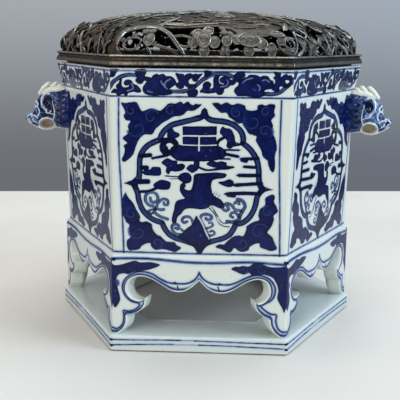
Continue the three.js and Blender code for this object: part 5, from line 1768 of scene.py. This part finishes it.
# %% Rim moulding
RIM_LOW, RIM_TOP, RIM_WIDE = 147.2, 152.5, 11.0
MOULDING = [
    (0, 0.6), (0.01, 0.2), (0.04, 0.03), (0.08, 0), (0.14, 0.08), (0.24, 0.18), (0.34, 0.3),
    (0.42, 0.5), (0.47, 0.8), (0.54, 1.25), (0.64, 1.35), (0.74, 1.1), (0.79, 0.65), (0.83, 0.25),
    (0.89, 0.1), (0.94, 0.3), (0.99, 0.8), (1, 1.3)]
rim_rows = at_edge(RIM_EDGE, MOUTH_PULL, (
    [(RIM_LOW + (RIM_TOP - RIM_LOW) * share, inset) for share, inset in MOULDING]
    + [(RIM_TOP, 4.0), (RIM_TOP, RIM_WIDE - 0.4), (RIM_TOP - 0.4, RIM_WIDE),
       (RIM_LOW + 0.4, RIM_WIDE), (RIM_LOW, RIM_WIDE - 0.4)]))


def rim_wear_and_glint(u, z):
    """Pale where the beads stand out, from rubbing and painted highlight: at their crests, and more
    on the thin one.
    """
    share = (z - RIM_LOW) / (RIM_TOP - RIM_LOW)
    return metal_marks(0.85 * ridge(share - 0.90, 0.07) + 0.25 * ridge(share - 0.2, 0.1))


course("cover_rim_moulding", rim_rows, 1.0, rim_wear_and_glint, bronze, "cover_bronze", "cover_rim",
       flat=16, body="cover")

# %% [markdown]
# Inside stands a copper pan of ash, raked into a low heap. Its surface is the pan's plan,
# drawn in ring by ring towards the middle, with the rake's furrows and some lumps on it.

# %% Ash heap
def ash_material():
    material, shader, place = new_material("wood_ash")
    grain, patch = place.noise(900.0, 3.0, 0.7), place.noise(60.0, 3.0)
    tone = patch.mix((0.40, 0.38, 0.35, 1), (0.58, 0.56, 0.52, 1))
    crumbs = grain.ramp(0.62, 0.72, 0.0, 0.6)
    fill(shader, {"Base Color": crumbs.mix(tone, (0.10, 0.09, 0.085, 1)), "Roughness": 1.0,
                  "Specular IOR Level": 0.15, "Normal": grain.bump(0.8, 0.0008)})
    return material


PAN_EDGE, ASH_LOW, ASH_EDGE, ASH_PEAK = 87.7, 54.05, 102.05, 107.0
ASH_INSET, ASH_REACH = 11.75, 64.0


def ash_heap():
    """A cosine hill over the pan's plan, with furrows along its slope."""
    shares = np.concatenate(([0.02], np.linspace(0.08, 1, 16)))[::-1]
    steps = [(ASH_EDGE + (ASH_PEAK - ASH_EDGE) * (0.5 + 0.5 * math.cos(math.pi * share)),
              ASH_INSET + ASH_REACH * (1 - share)) for share in shares]
    corners = levels(at_edge(PAN_EDGE, BODY_PULL, [(ASH_LOW, ASH_INSET), *steps]))
    points = np.concatenate([side_grid(corners, face, 0.02, 20, 2)[0][:, :-1]
                             for face in range(6)], 1)
    x, y = points[..., 0], points[..., 1]
    edge = np.clip((points[..., 2] - ASH_EDGE) / 1.2, 0, 1)
    points[..., 2] += edge * (0.5 * np.sin(0.9 * x + 0.5 * np.sin(0.13 * y))
                              + 0.35 * np.sin(0.31 * x + 0.47 * y)) - 0.3 * edge
    return grid_mesh("ash_heap", points, False, True, True)


add_piece("ash_heap", ash_heap(), ash_material(), "liner", "ash", ["ash_bed"])

# %% [markdown]
# The flange and collar of the cover and the liner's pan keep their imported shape, because a
# folded sheet is as plain as that, and take the same bronze and copper.

# %% Carried-over nodes
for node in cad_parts:
    worked = {"cover_flange": bronze, "cover_collar": bronze, "liner_pan": copper}.get(node)
    if worked is not None:
        bpy.data.objects[node].data.materials.clear()
        bpy.data.objects[node].data.materials.append(worked)
        print(node, "finished in", worked.name)
